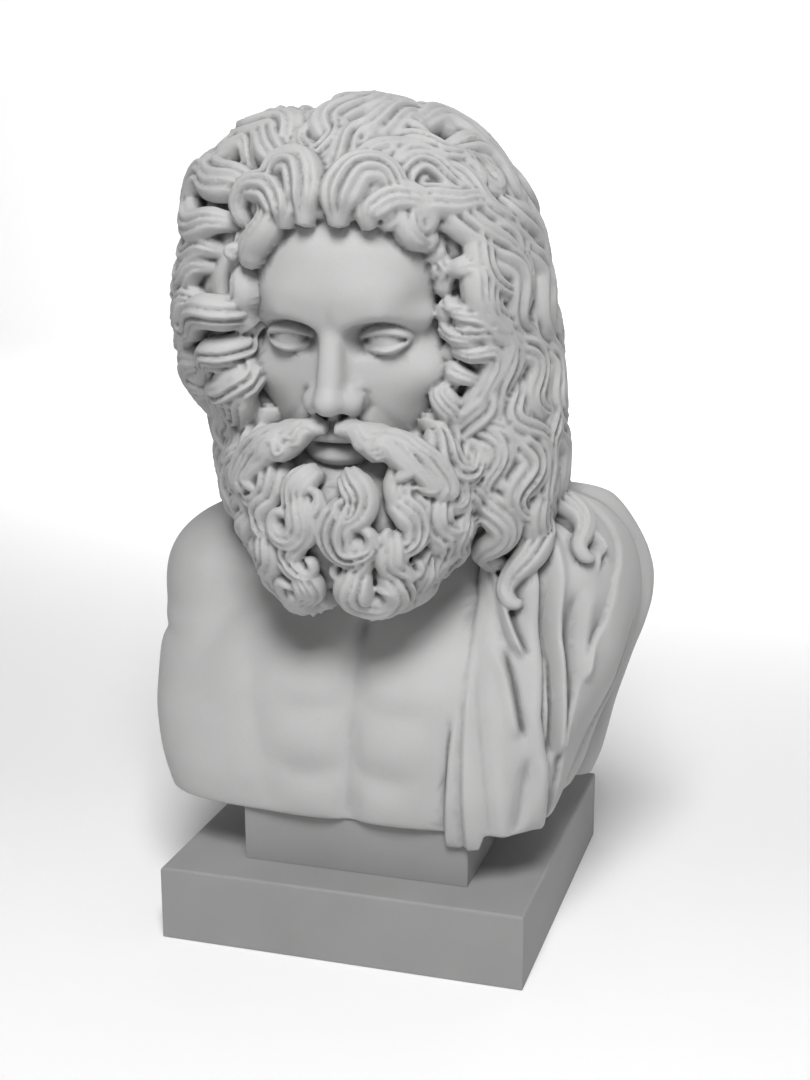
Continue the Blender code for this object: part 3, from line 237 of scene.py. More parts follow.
def head(p):
    s, a, u = to_head(p)
    ms = np.abs(s)
    q, m = (s, a, u), (ms, a, u)
    f = ellipsoid(q, (0, 3, 34), (75, 94, 86))
    f = smooth_min(f, ellipsoid(q, (0, 32, -32), (66, 62, 84)), 14)
    # jaw, forehead, the bar above the brows, temples
    f = smooth_min(f, ellipsoid(q, (0, 60, -90), (36, 38, 27)), 14)
    f = smooth_min(f, ellipsoid(q, (0, 52, 34), (58, 46, 44)), 16)
    f = smooth_min(f, ellipsoid(m, (15, 84, 27), (26, 14, 12)), 14)
    f = f + 4.0 * np.exp(-((ms - 66) / 16) ** 2 - ((a - 52) / 22) ** 2 - ((u - 26) / 26) ** 2)
    brow = capsule(m, (8, 92.5, 15.0), (30, 90.5, 18.0), 6.0, 6.2)
    brow = np.minimum(brow, capsule(m, (30, 90.5, 18.0), (52, 69, 12), 6.2, 6.0))
    f = smooth_min(f, brow, 9)
    # muzzle and cheek bones
    f = smooth_min(f, ellipsoid(q, (0, 72, -62), (33, 27, 27)), 14)
    f = smooth_min(f, ellipsoid(m, (44, 58, -24), (23, 21, 16)), 16)
    # eye sockets
    f = smooth_max(f, -ellipsoid(m, (31, 100, 1.5), (22.0, 22, 13.0)), 6)
    f = smooth_max(f, -ellipsoid(m, (17.5, 93, 1), (8, 10, 9)), 6)
    # nose
    nose = capsule(q, (0, 89.0, 16), (0, 107, -31), 7.0, 8.0)
    nose = smooth_min(nose, capsule(q, (0, 78, 12), (0, 88, -36), 9, 17.0), 7)
    nose = smooth_min(nose, ellipsoid(q, (0, 110, -34), (9.0, 9.0, 8.4)), 4)
    nose = smooth_min(nose, ellipsoid(m, (12.0, 95.0, -37), (8.4, 13.0, 9.0)), 8)
    f = smooth_min(f, nose, 4.5)
    f = smooth_max(f, -ellipsoid(m, (7.0, 103, -45.5), (4.2, 7.0, 4.4)), 1.6)
    wing = np.abs(np.sqrt((a - 97.5) ** 2 + ((u + 38) * 1.25) ** 2) - 10.4)
    beside_nose = ease(ms, 10, 14) * (1 - ease(ms, 20, 24)) * (1 - ease(a, 98, 104)) * ease(u, -47, -41)
    f = f + 1.1 * np.exp(-(wing / 2.0) ** 2) * beside_nose
    # the fold from the nose's wing down the cheek
    fold = capsule(m, (19, 93, -40), (37, 80, -66), 3.0, 3.0)
    f = f + 1.8 * np.exp(-(np.maximum(fold, 0) / 4.0) ** 2)
    # eyeballs and lids
    ball = np.sqrt((ms - 31.0) ** 2 + (a - 75.5) ** 2 + (u + 0.5) ** 2)
    f = smooth_min(f, ball - 13.2, 0.8)
    t = (ms - 31.0) / 16.0
    arch = np.maximum(1.0 - t * t, 0.0)
    upper_edge = -0.6 + t * 0.6 + 7.6 * arch ** 0.7
    lower_edge = -1.6 + t * 0.6 - 5.0 * arch ** 0.8
    past = np.maximum(np.abs(ms - 31.0) - 15.5, 0.0)
    shell = smooth_max(ball - 14.2, upper_edge - u, 0.6)
    upper = np.sqrt((ball - 14.6) ** 2 + (u - upper_edge) ** 2 + past ** 2) - 2.3
    lower = np.sqrt((ball - 14.2) ** 2 + (u - lower_edge) ** 2 + past ** 2) - 1.8
    f = smooth_min(f, smooth_min(shell, upper, 1.2), 1.2)
    f = smooth_min(f, lower, 1.6)
    # lips
    f = smooth_min(f, ellipsoid(q, (0, 92.0, -59.5), (23, 11.5, 5.6)), 3)
    f = smooth_min(f, ellipsoid(q, (0, 92.5, -73.0), (19, 11.5, 6.8)), 3.5)
    f = smooth_max(f, -ellipsoid(q, (0, 102, -66.0), (25, 11, 1.9)), 1.8)
    f = f + 2.2 * np.exp(-(s / 18) ** 2 - ((u + 84) / 5) ** 2) * (a > 60)
    return f * FACE

# The masses that the locks lie on.
HAIR_C = np.array((-0.012, -0.030, 0.395))
BEARD_C = np.array((-0.004, -0.062, 0.262))

def face_opening(p):
    """Below zero in the space before the face; it widens outward, so its rim slopes."""
    s, a, u = to_head(p)
    flare = 0.62 * np.clip(a - 45.0, 0.0, 70.0)
    half = 57.0 - 10.0 * ease(-u, 20.0, 60.0) + flare + 9.0 * ease(s, 0.0, 40.0)
    tall = np.where(u > 0, u / (80.0 + flare), -u / (66.0 + 0.3 * flare))
    rho = ((np.abs(s) / half) ** 2.5 + tall ** 2.5) ** 0.4
    return smooth_max((rho - 1.0) * 50.0, 26.0 - a, 8.0) * FACE

def hair_mass(p):
    f = ellipsoid(p, (-0.014, -0.036, 0.411), (0.131, 0.112, 0.133))
    f = smooth_min(f, ellipsoid(p, (-0.074, -0.040, 0.472), (0.056, 0.072, 0.050)), 0.020)
    f = smooth_min(f, ellipsoid(p, (0.041, -0.014, 0.460), (0.055, 0.078, 0.055)), 0.020)
    f = smooth_min(f, ellipsoid(p, (-0.008, 0.004, 0.300), (0.110, 0.080, 0.120)), 0.030)
    f = smooth_min(f, ellipsoid(p, (-0.107, -0.035, 0.380), (0.035, 0.056, 0.064)), 0.020)
    f = smooth_min(f, ellipsoid(p, (-0.088, -0.030, 0.275), (0.034, 0.046, 0.078)), 0.020)
    f = smooth_min(f, ellipsoid(p, (0.092, -0.018, 0.335), (0.034, 0.056, 0.095)), 0.020)
    f = smooth_min(f, ellipsoid(p, (0.094, -0.024, 0.270), (0.040, 0.050, 0.070)), 0.020)
    return smooth_max(f, -face_opening(p), 0.008)

def beard_mass(p):
    f = ellipsoid(p, (-0.002, -0.088, 0.246), (0.076, 0.060, 0.056))
    f = smooth_min(f, ellipsoid(p, (-0.004, -0.058, 0.282), (0.094, 0.068, 0.058)), 0.020)
    m = (np.abs(p[0] + 0.003), p[1], p[2])
    f = smooth_min(f, ellipsoid(m, (0.025, -0.108, 0.213), (0.025, 0.034, 0.028)), 0.012)
    s, a, u = to_head(p)
    lips = ellipsoid((s, a, u), (0, 118, -68), (30, 34, 17)) * FACE
    return smooth_max(smooth_max(f, -face_opening(p), 0.008), -lips, 0.006)

def masses(p):
    return smooth_min(hair_mass(p), beard_mass(p), 0.008)

# Cloak over the statue's left shoulder: smooth cloth with two borders in front, a band along its
# back edge, and creases that run down from the shoulder. Angles are about the cloak's own upright
# axis, 0 to the front and 90 to the side; each course lists angle and height from top to bottom.
CLOAK_AXIS = (0.070, 0.012)
CLOAK_THICK = 0.0035
CLOAK_DEEP = 0.012
PANEL_STEP = 0.0032
PANEL_ROLL = 0.0024
PANEL_GROOVE = 0.0036
BAND_STEP = 0.0040
CLOTH_WAVE = 0.0012
CREASE_STRENGTH = 1.3
BACK_BORDER = 0.050
BACK_BORDER_FROM = 0.060
PANEL_EDGE = ((46.0, 0.215), (45.0, 0.170), (38.0, 0.094), (42.0, -0.010))
BAND_EDGE = (
    (97.0, 0.255), (84.0, 0.215), (74.0, 0.190), (68.0, 0.154), (55.0, 0.118), (47.0, 0.076),
    (44.0, 0.030),
)
# course, depth, half width of the groove, height of the ridge beside it and its side
CREASES = (
    (((24.0, 0.225), (30.0, 0.180), (34.0, 0.150), (36.0, 0.136)), 0.0040, 0.0030, 0.0055, -1),
    (((19.0, 0.225), (24.0, 0.180), (28.0, 0.150), (32.0, 0.134)), 0.0028, 0.0028, 0.0020, 1),
    (((26.0, 0.148), (29.0, 0.120), (31.0, 0.078)), 0.0035, 0.0032, 0.0035, -1),
    (((12.0, 0.190), (14.0, 0.120), (19.0, 0.000), (20.0, -0.030)), 0.0018, 0.0060, 0.0018, 1),
    (((33.0, 0.070), (30.0, 0.040), (27.0, 0.000)), 0.0020, 0.0060, 0.0022, 1),
    (((52.0, 0.250), (49.0, 0.190), (44.0, 0.106), (42.0, 0.058)), 0.0042, 0.0030, 0.0045, 1),
    (((47.0, 0.190), (46.0, 0.160), (44.0, 0.130)), 0.0022, 0.0026, 0.0025, 1),
    (((60.0, 0.190), (57.0, 0.150), (53.0, 0.112)), 0.0028, 0.0042, 0.0030, 1),
    (((66.0, 0.262), (67.0, 0.235), (70.0, 0.205)), 0.0040, 0.0030, 0.0045, 1),
    (((80.0, 0.245), (76.0, 0.225), (70.0, 0.196)), 0.0026, 0.0026, 0.0030, -1),
    (((104.0, 0.260), (101.0, 0.150), (96.0, -0.030)), 0.0030, 0.0060, 0.0036, 1),
    (((121.0, 0.260), (117.0, 0.120), (112.0, -0.030)), 0.0036, 0.0055, 0.0045, -1),
    (((138.0, 0.260), (136.0, 0.130), (130.0, -0.030)), 0.0034, 0.0060, 0.0045, 1),
    (((157.0, 0.260), (153.0, 0.120), (149.0, -0.030)), 0.0036, 0.0055, 0.0045, -1),
    (((171.0, 0.240), (169.0, 0.120), (167.0, -0.030)), 0.0030, 0.0060, 0.0036, 1),
)

def course_at(course, z):
    """The angle of a course at each height."""
    angles = [a for a, _ in reversed(course)]
    heights = [h for _, h in reversed(course)]
    return np.interp(z, heights, angles)

def cloak(p):
    x, y, z = p
    angle = np.degrees(np.arctan2(x - CLOAK_AXIS[0], -(y - CLOAK_AXIS[1])))
    around = np.minimum(np.sqrt((x - CLOAK_AXIS[0]) ** 2 + (y - CLOAK_AXIS[1]) ** 2), 0.14)
    under_border = 0.079 + 0.03 * z
    over_border = 0.096 - 0.050 * z
    front = y < CLOAK_AXIS[1]
    past_panel = np.radians(angle - course_at(PANEL_EDGE, z)) * around
    past_band = np.radians(angle - course_at(BAND_EDGE, z)) * around
    on_panel = ease(x - over_border, -0.0012, 0.0012) - ease(past_panel, -0.0010, 0.0018)
    relief = PANEL_STEP * on_panel * front
    relief = relief + BAND_STEP * ease(past_band, -0.0008, 0.0020) * ease(z, -0.02, 0.03)
    relief = relief + PANEL_ROLL * np.exp(-(past_panel / 0.006 + 1.2) ** 2)
    relief = relief - PANEL_GROOVE * np.exp(-(past_panel / 0.0024 - 0.8) ** 2)
    relief = relief + CLOTH_WAVE * np.sin(np.radians(angle) * 9.0 + 14.0 * z)
    for course, deep, wide, ridge, side in CREASES:
        t = np.radians(angle - course_at(course, z)) * around * side
        high_end, low_end = course[0][1], course[-1][1]
        within = ease(z, low_end - 0.004, low_end + 0.012) * (1 - ease(z, high_end - 0.02, high_end))
        cut = ridge * np.exp(-((t / wide - 2.2) / 1.7) ** 2) - deep * np.exp(-(t / wide) ** 2)
        relief = relief + CREASE_STRENGTH * cut * within
    f = frame_of_body(p) - CLOAK_THICK - relief
    f = smooth_max(f, np.where(y < BACK_BORDER_FROM, under_border, BACK_BORDER) - x, 0.003)
    return smooth_max(f, -CLOAK_DEEP - frame_of_body(p), 0.004)

# Meshes.

def surface_net(field, origin, step):
    """One point in every cell that the surface crosses, one quad for every crossed edge."""
    inside = field < 0.0
    nx, ny, nz = field.shape
    cell = inside[:-1, :-1, :-1].astype(np.int8)
    for dx in (0, 1):
        for dy in (0, 1):
            for dz in (0, 1):
                if dx + dy + dz:
                    cell = cell + inside[dx:nx - 1 + dx, dy:ny - 1 + dy, dz:nz - 1 + dz]
    active = (cell > 0) & (cell < 8)
    index = np.full(active.shape, -1, np.int64)
    cells = np.argwhere(active)
    index[active] = np.arange(len(cells))
    total = np.zeros((len(cells), 3))
    count = np.zeros(len(cells))
    i, j, k = cells.T
    for axis in range(3):
        for b in (0, 1):
            for c in (0, 1):
                low = [0, 0, 0]
                others = [a for a in range(3) if a != axis]
                low[others[0]], low[others[1]] = b, c
                high = list(low)
                high[axis] = 1
                f0 = field[i + low[0], j + low[1], k + low[2]]
                f1 = field[i + high[0], j + high[1], k + high[2]]
                crossed = (f0 < 0) != (f1 < 0)
                t = np.where(crossed, f0 / np.where(crossed, f0 - f1, 1.0), 0.0)
                spot = np.zeros((len(cells), 3))
                for a in range(3):
                    spot[:, a] = low[a] + (t if a == axis else 0.0)
                total += spot * crossed[:, None]
                count += crossed
    points = (cells + total / count[:, None]) * step + np.asarray(origin)
    quads = []
    for axis in range(3):
        a, b = [v for v in range(3) if v != axis]
        cut = [slice(1, -1)] * 3
        cut[axis] = slice(0, -1)
        ahead = [slice(1, -1)] * 3
        ahead[axis] = slice(1, None)
        lower = inside[tuple(cut)]
        upper = inside[tuple(ahead)]
        crossed = np.argwhere(lower != upper)
        offset = np.array([1, 1, 1])
        offset[axis] = 0
        corner = crossed + offset
        ids = []
        for da, db in ((-1, -1), (0, -1), (0, 0), (-1, 0)):
            spot = corner.copy()
            spot[:, a] += da
            spot[:, b] += db
            ids.append(index[spot[:, 0], spot[:, 1], spot[:, 2]])
        quad = np.stack(ids, 1)
        flip = lower[crossed[:, 0], crossed[:, 1], crossed[:, 2]]
        if axis == 1:
            flip = ~flip
        quad[~flip] = quad[~flip][:, ::-1]
        quads.append(quad)
    return points, np.concatenate(quads)

def sample(function, space, step):
    """The surface of the function within the space, found on a grid of the step."""
    low, high = space
    axes = [np.arange(low[i], high[i] + step * 0.5, step, dtype=np.float32) for i in range(3)]
    p = (axes[0][:, None, None], axes[1][None, :, None], axes[2][None, None, :])
    field = np.broadcast_to(function(p), [len(a) for a in axes]).astype(np.float32).copy()
    for axis in range(3):
        edge = [slice(None)] * 3
        for end in (0, -1):
            edge[axis] = end
            field[tuple(edge)] = np.maximum(field[tuple(edge)], step)
    return surface_net(field, [a[0] for a in axes], step)

class Heap:
    """Collects closed shapes as triangles."""
    def __init__(self):
        self.points = []
        self.faces = []
        self.count = 0

    def add(self, points, quads, triangles=None):
        faces = [quads[:, [0, 1, 2]], quads[:, [0, 2, 3]]]
        if triangles is not None:
            faces.append(triangles)
        self.points.append(points)
        self.faces.append(np.concatenate(faces) + self.count)
        self.count += len(points)

def mesh_object(name, points, faces):
    mesh = bpy.data.meshes.new(name)
    mesh.vertices.add(len(points))
    mesh.vertices.foreach_set("co", np.asarray(points, np.float32).ravel())
    corners = faces.shape[1]
    mesh.loops.add(faces.size)
    mesh.loops.foreach_set("vertex_index", faces.astype(np.int32).ravel())
    mesh.polygons.add(len(faces))
    mesh.polygons.foreach_set("loop_start", np.arange(0, faces.size, corners, dtype=np.int32))
    mesh.update()
    mesh.validate()
    obj = bpy.data.objects.new(name, mesh)
    bpy.context.scene.collection.objects.link(obj)
    return obj

# Locks.

def unit(v):
    return v / (np.linalg.norm(v, axis=-1, keepdims=True) + 1e-12)

def slope(mass, points, h=0.0012):
    p = points.T
    out = []
    for axis in range(3):
        a = [p[i] + (h if i == axis else 0.0) for i in range(3)]
        b = [p[i] - (h if i == axis else 0.0) for i in range(3)]
        out.append(mass(a) - mass(b))
    return unit(np.stack(out, 1))

def settle(mass, points, offset, rounds=4):
    for _ in range(rounds):
        points = points + slope(mass, points) * (offset - mass(points.T))[:, None]
    return points

def resample(points, count):
    gone = np.concatenate([[0.0], np.cumsum(np.linalg.norm(np.diff(points, axis=0), axis=1))])
    t = np.linspace(0, gone[-1], count)
    return np.stack([np.interp(t, gone, points[:, i]) for i in range(3)], 1)

def smoothed(points, rounds):
    for _ in range(rounds):
        points = points.copy()
        points[1:-1] = points[1:-1] * 0.5 + (points[:-2] + points[2:]) * 0.25
    return points

def grow(mass, starts, lengths, flow, swing, waves, phases, steps=24):
    """Lines that run from the starts over the mass, all at once, swinging about the flow's direction."""
    p = settle(mass, np.asarray(starts, float), np.zeros(len(starts)), 5)
    lines = [p]
    for k in range(steps):
        n = slope(mass, p)
        d = flow(p)
        d = unit(d - n * np.sum(d * n, axis=1)[:, None])
        s = (k + 0.5) / steps
        turn = (swing * ease(s, 0.0, 0.2) * np.sin(2 * math.pi * waves * s + phases))[:, None]
        d = d * np.cos(turn) + np.cross(d, n) * np.sin(turn)
        p = settle(mass, p + d * (np.asarray(lengths) / steps)[:, None], np.zeros(len(p)), 1)
        lines.append(p)
    return np.stack(lines, 1)

def curled(mass, line, offset, turn, radius, rise, lift, sink, count=48):
    """Lays a line over its mass, its root sunk in, with a curl at its end that rises inward."""
    p = resample(smoothed(line, 1), 28)
    n = slope(mass, p)
    s = np.linspace(0, 1, len(p))
    height = offset + lift * np.sin(math.pi * s) ** 2 - sink * (1.0 - ease(s, 0.0, 0.2))
    if turn:
        t = np.linspace(0, 1, 25)[1:]
        heading = math.radians(turn) * t ** 1.05
        step = radius * (1.0 - 0.74 * t) * abs(math.radians(turn)) / 24
        forward = unit(p[-1] - p[-3])
        across = unit(np.cross(forward, n[-1]))
        move = (np.cos(heading)[:, None] * forward + np.sin(heading)[:, None] * across) * step[:, None]
        p = np.vstack([p, p[-1] + np.cumsum(move, axis=0)])
        height = np.concatenate([height, offset + rise * t])
    p = resample(settle(mass, p, height, 2), count)
    return p, slope(mass, p)

def sweep(points, normals, width, thick, strands, seed, taper=0.6, groove=0.36, root=0.5, sink=0.8,
          roll=0.0):
    """Closed grooved tube over a line: rings of a flat oval with strands cut in its outer side."""
    rng = np.random.default_rng(seed)
    n = len(points)
    s = np.linspace(0, 1, n)
    tangent = unit(np.gradient(points, axis=0))
    side = unit(np.cross(tangent, normals))
    out = unit(np.cross(side, tangent))
    if roll:
        c, r = math.cos(roll), math.sin(roll)
        side, out = side * c + out * r, out * c - side * r
    close = np.sqrt(np.maximum(1.0 - (np.clip((s - 0.90) / 0.10, 0, 1) ** 2) * 0.94, 0.02))
    w = width * 0.5 * (root + (1 - root) * ease(s, 0.0, 0.3)) * (1 - taper * ease(s, 0.35, 1.0)) * close
    h = thick * (0.5 + 0.5 * ease(s, 0.0, 0.25)) * (1 - 0.4 * ease(s, 0.5, 1.0)) * close
    u = np.sin(np.linspace(-0.5, 0.5, 6 * strands + 1) * math.pi)[None, :]
    drift = 0.10 * np.sin(2 * math.pi * (s * 1.3 + rng.random()))[:, None]
    carved = np.zeros((n, u.shape[1]))
    for cut in range(1, strands):
        line = 2.0 * cut / strands - 1.0 + rng.uniform(-0.10, 0.10) + drift
        deep = groove * rng.uniform(0.55, 1.1) * ease(s, 0.02, 0.15)[:, None]
        across = (u - line * (1 - 0.15 * u ** 2)) * strands / 0.62
        carved = np.maximum(carved, deep * np.exp(-across ** 2))
    dome = np.maximum(1 - np.abs(u) ** 2.2, 0) ** 0.5
    top = h[:, None] * dome * (1 - carved)
    under = np.linspace(1, -1, 7)[None, 1:-1]
    low = -sink * h[:, None] * np.sqrt(1 - under ** 2)
    lateral = np.concatenate([np.repeat(u, n, 0), np.repeat(under, n, 0)], 1) * w[:, None]
    rise = np.concatenate([top, low], 1)
    ring = points[:, None] + side[:, None] * lateral[:, :, None] + out[:, None] * rise[:, :, None]
    k = ring.shape[1]
    i = np.arange(n - 1)[:, None] * k
    j = np.arange(k)[None, :]
    j2 = (j + 1) % k
    quads = np.stack([i + j, i + j2, i + k + j2, i + k + j], -1).reshape(-1, 4)
    ends = np.vstack([points[:1] - tangent[:1] * 0.3 * w[0], points[-1:] + tangent[-1:] * 0.4 * w[-1]])
    points = np.vstack([ring.reshape(-1, 3), ends])
    j = np.arange(k)
    j2 = (j + 1) % k
    first = np.stack([j2, j, np.full(k, n * k)], 1)
    last = np.stack([(n - 1) * k + j, (n - 1) * k + j2, np.full(k, n * k + 1)], 1)
    return points, quads, np.concatenate([first, last])

# Hair and beard.

LOOK_DOWN = math.radians(12.0)
FACE_AXIS = np.array((0.0, -math.cos(LOOK_DOWN), -math.sin(LOOK_DOWN)))
FACE_UP = np.array((0.0, -math.sin(LOOK_DOWN), math.cos(LOOK_DOWN)))
FACE_SIDE = np.array((1.0, 0.0, 0.0))
DOWN = np.array((0.0, 0.0, -1.0))

# Rings of locks about the face, from the back to the hairline: degrees from the face's axis,
# reach to each side, locks in the ring, height over the mass, length, width.
HAIR_RINGS = (
    (165, 180, 4, 0.000, 0.110, 0.044),
    (146, 180, 10, 0.001, 0.110, 0.042),
    (124, 160, 16, 0.001, 0.110, 0.040),
    (103, 150, 19, 0.002, 0.105, 0.038),
    (84, 118, 15, 0.002, 0.095, 0.036),
    (67, 118, 17, 0.003, 0.090, 0.032),
    (52, 118, 18, 0.004, 0.082, 0.029),
    (0, 114, 21, 0.004, 0.068, 0.025),
)
LOCK_THICK = 0.0150
LOCK_SWING = math.radians(42.0)
LOCK_CURL = 0.0135
LONG_WAVE = 0.070

# Tiers that hang to the shoulders: height of their roots, height over the mass, length.
HANGING_TIERS = ((0.285, 0.001, 0.100), (0.315, 0.003, 0.085), (0.350, 0.005, 0.085))
HANGING_COUNT = 14
HANGING_WIDTH = 0.031

# Locks that rise over the middle of the forehead and fall to its sides, in the head's millimetres:
# root, reach aside, height above the hairline, size.
FORELOCKS = (
    (26.0, 74.0, 30.0, 0.85),
    (-25.0, -66.0, 34.0, 0.90),
    (8.0, 50.0, 48.0, 1.10),
    (-11.0, -44.0, 58.0, 1.00),
)
FORELOCK_BASE = 70.0
FORELOCK_WIDTH = 0.032
FORELOCK_THICK = 0.017

# Tufts along the hairline: number, degrees to each side, length; the ring behind them lies further out.
HAIRLINE_TUFTS = 26
HAIRLINE_REACH = 112
TUFT_LENGTH = 0.022
TUFT_WIDTH = 0.018
RING_INSET = 8.0

# Rows of locks over the crown: degrees from the face's axis and number; degrees to each side.
CROWN_ROWS = ((82, 3), (92, 3), (104, 3), (120, 4))
CROWN_REACH = 15
CROWN_LENGTH = 0.090
CROWN_WIDTH = 0.038

# Distance from a mass's middle that lies outside it on every side; starts settle from there.
OUTSIDE = 0.15

# Rows of the beard: degrees above its middle, pairs of locks, reach to each side, height over the mass.
BEARD_ROWS = (
    (-58, 2, 60, 0.000),
    (-40, 4, 84, 0.001),
    (-23, 4, 88, 0.003),
    (-7, 5, 98, 0.004),
    (8, 5, 98, 0.005),
    (21, 5, 100, 0.006),
    (33, 5, 104, 0.006),
    (45, 5, 106, 0.006),
)
BEARD_WIDTH = 0.0290
BEARD_LENGTH = 0.024
BEARD_CURL = 0.0130
MOUSTACHE_LOCKS = 4
MOUSTACHE_WIDTH = 0.020
MOUSTACHE_THICK = 0.015

def ring_starts(theta, around):
    """Points in the directions that lie theta degrees from the face's axis, around it by the angles."""
    t = math.radians(theta)
    a = np.radians(around)[:, None]
    outward = np.cos(a) * FACE_UP + np.sin(a) * FACE_SIDE
    return HAIR_C + OUTSIDE * (math.cos(t) * FACE_AXIS + math.sin(t) * outward)

def hairline(around, inset):
    """Points before the skin along the edge of the hair."""
    a = np.radians(around)
    aside = (57.0 + inset + 9.0 * (around > 0)) * np.sin(a)
    ahead = 96.0 - 40.0 * np.sin(a) ** 2
    up = 4.0 + (78.0 + inset) * np.cos(a)
    return np.stack([from_head(q) for q in np.stack([aside, ahead, up], 1)])

def from_face(p):
    """Direction away from the face's axis, angle from it in degrees, direction from the hair's middle."""
    d = unit(p - HAIR_C)
    along_axis = d @ FACE_AXIS
    return unit(d * along_axis[:, None] - FACE_AXIS), np.degrees(np.arccos(np.clip(along_axis, -1, 1))), d

def hair_flow(p):
    """Away from the face at first, then down at the sides, and apart over the forehead."""
    away, theta, d = from_face(p)
    climb = 1.0 - ease(face_opening(p.T), 0.003, 0.012)[:, None]
    away = away * (1.0 - climb) + (unit(away_flow(p)) + 0.5 * FACE_AXIS) * climb
    high = ease(d[:, 2], 0.25, 0.9)
    beside = ease(d[:, 0], 0.30, 0.55) * ease(face_opening(p.T), 0.002, 0.016)
    droop = climb[:, 0] * ease(-d[:, 0], 0.30, 0.55)
    fall = (0.35 + 0.7 * droop + 1.8 * beside + 2.4 * ease(theta, 70, 115)) * (1 - 0.75 * high)
    apart = d[:, 0] * high * (0.3 + 2.2 * ease(theta, 48, 80))
    return away + DOWN * fall[:, None] + FACE_SIDE * apart[:, None]

def away_flow(p):
    d = unit(p - HAIR_C)
    return d - FACE_AXIS * (d @ FACE_AXIS)[:, None]

def down_flow(p):
    return np.tile(DOWN, (len(p), 1))

def beard_flow(p):
    d = unit(p - BEARD_C)
    return DOWN + 0.7 * d[:, :1] * FACE_SIDE

def skin_and_beard(p):
    return smooth_min(beard_mass(p), head(p), 0.006)

def hair_and_shoulders(p):
    return smooth_min(hair_mass(p), frame_of_body(p) - 0.006, 0.010)

def skin_and_hair(p):
    return smooth_min(hair_mass(p), head(p), 0.004)

def lay_locks(heap, mass, starts, lengths, flow, rng, offset, width, swing, waves, phases, curl,
              thick=LOCK_THICK, radius=LOCK_CURL, rise=0.006, strands=4, lift=0.003, sink=0.010, **shape):
    """A row of locks. Each curl carries on its lock's last bend."""
    sides = np.where(starts[:, 0] < HAIR_C[0], -1.0, 1.0)
    lines = grow(mass, starts, lengths, flow, swing * sides, waves, phases)
    hands = np.where(np.cos(2 * math.pi * waves + phases) >= 0, sides, -sides)
    widths = np.broadcast_to(width, len(starts))
    for i, line in enumerate(lines):
        size = rng.uniform(0.85, 1.15)
        height = offset + rng.uniform(-0.002, 0.002)
        p, n = curled(mass, line, height, hands[i] * curl[i], radius * size, rise, lift, sink)
        heap.add(*sweep(p, n, widths[i] * size, thick * size, strands, rng.integers(1 << 30),
                        roll=rng.uniform(-0.3, 0.3), **shape))

def add_rings(heap, rng):
    """Rings of locks about the face. Those on the right hang in long waves that run on from lock to lock."""
    for ring, (theta, reach, number, offset, length, width) in enumerate(HAIR_RINGS):
        around = -reach + 2 * reach * (np.arange(number) + 0.5) / number
        around = around + (0.25 if ring % 2 else -0.25) * reach / number + rng.uniform(-2.5, 2.5, number)
        at_hairline = theta == 0
        over_brow = (1.0 - ease(np.abs(around), 20, 50)) * (theta < 60)
        hanging = ease(around, 25, 60) * (theta < 110)
        starts = hairline(around, RING_INSET) if at_hairline else ring_starts(theta, around)
        lengths = length * rng.uniform(0.85, 1.2, number) * (1 + 0.2 * over_brow + 0.25 * hanging)
        waves = 1.25 + rng.uniform(-0.15, 0.15, number)
        own_phase = np.radians(around) * 1.2 + 2.1 * ring
        shared_phase = 2 * math.pi * (CARVED_HEIGHT - starts[:, 2]) / LONG_WAVE
        lay_locks(
            heap, skin_and_hair if at_hairline else hair_mass, starts, lengths, hair_flow, rng,
            offset=offset,
            width=width * (1 + 0.15 * over_brow),
            swing=LOCK_SWING * (1 - 0.4 * over_brow),
            waves=waves + (lengths / LONG_WAVE - waves) * hanging,
            phases=own_phase + (shared_phase - own_phase) * hanging + rng.uniform(-0.4, 0.4, number),
            curl=rng.uniform(160, 300, number) - 80 * hanging,
            sink=0.004 if at_hairline else 0.010,
        )

def add_hanging_tiers(heap, rng):
    """Tiers of locks that hang to the shoulders and curl on them."""
    for tier, (top, offset, length) in enumerate(HANGING_TIERS):
        az = math.pi - np.radians(np.linspace(-155, 155, HANGING_COUNT) + 11.0 * tier)
        roots = top + rng.uniform(-0.01, 0.01, len(az))
        starts = np.stack([HAIR_C[0] + OUTSIDE * np.sin(az), -OUTSIDE * np.cos(az), roots], 1)
        lay_locks(
            heap, hair_and_shoulders, starts, length * rng.uniform(0.85, 1.15, len(az)), down_flow, rng,
            offset=offset,
            width=HANGING_WIDTH,
            swing=LOCK_SWING,
            waves=1.3,
            phases=1.4 * tier + 1.5 * np.sin(az * 2) + rng.uniform(-0.5, 0.5, len(az)),
            curl=rng.uniform(170, 290, len(az)),
        )

def add_hairline_tufts(heap, rng):
    """Short tufts along the edge of the hair."""
    around = np.linspace(-HAIRLINE_REACH, HAIRLINE_REACH, HAIRLINE_TUFTS)
    around = around + rng.uniform(-1.5, 1.5, HAIRLINE_TUFTS)
    lengths = TUFT_LENGTH * rng.uniform(0.6, 1.4, HAIRLINE_TUFTS)
    lay_locks(
        heap, skin_and_hair, hairline(around, 0.0), lengths, away_flow, rng,
        offset=0.005,
        width=TUFT_WIDTH,
        swing=math.radians(35),
        waves=0.8,
        phases=rng.uniform(0, 2 * math.pi, HAIRLINE_TUFTS),
        curl=rng.uniform(80, 220, HAIRLINE_TUFTS),
        thick=0.010, radius=0.009, rise=0.003, strands=3, sink=0.003,
    )

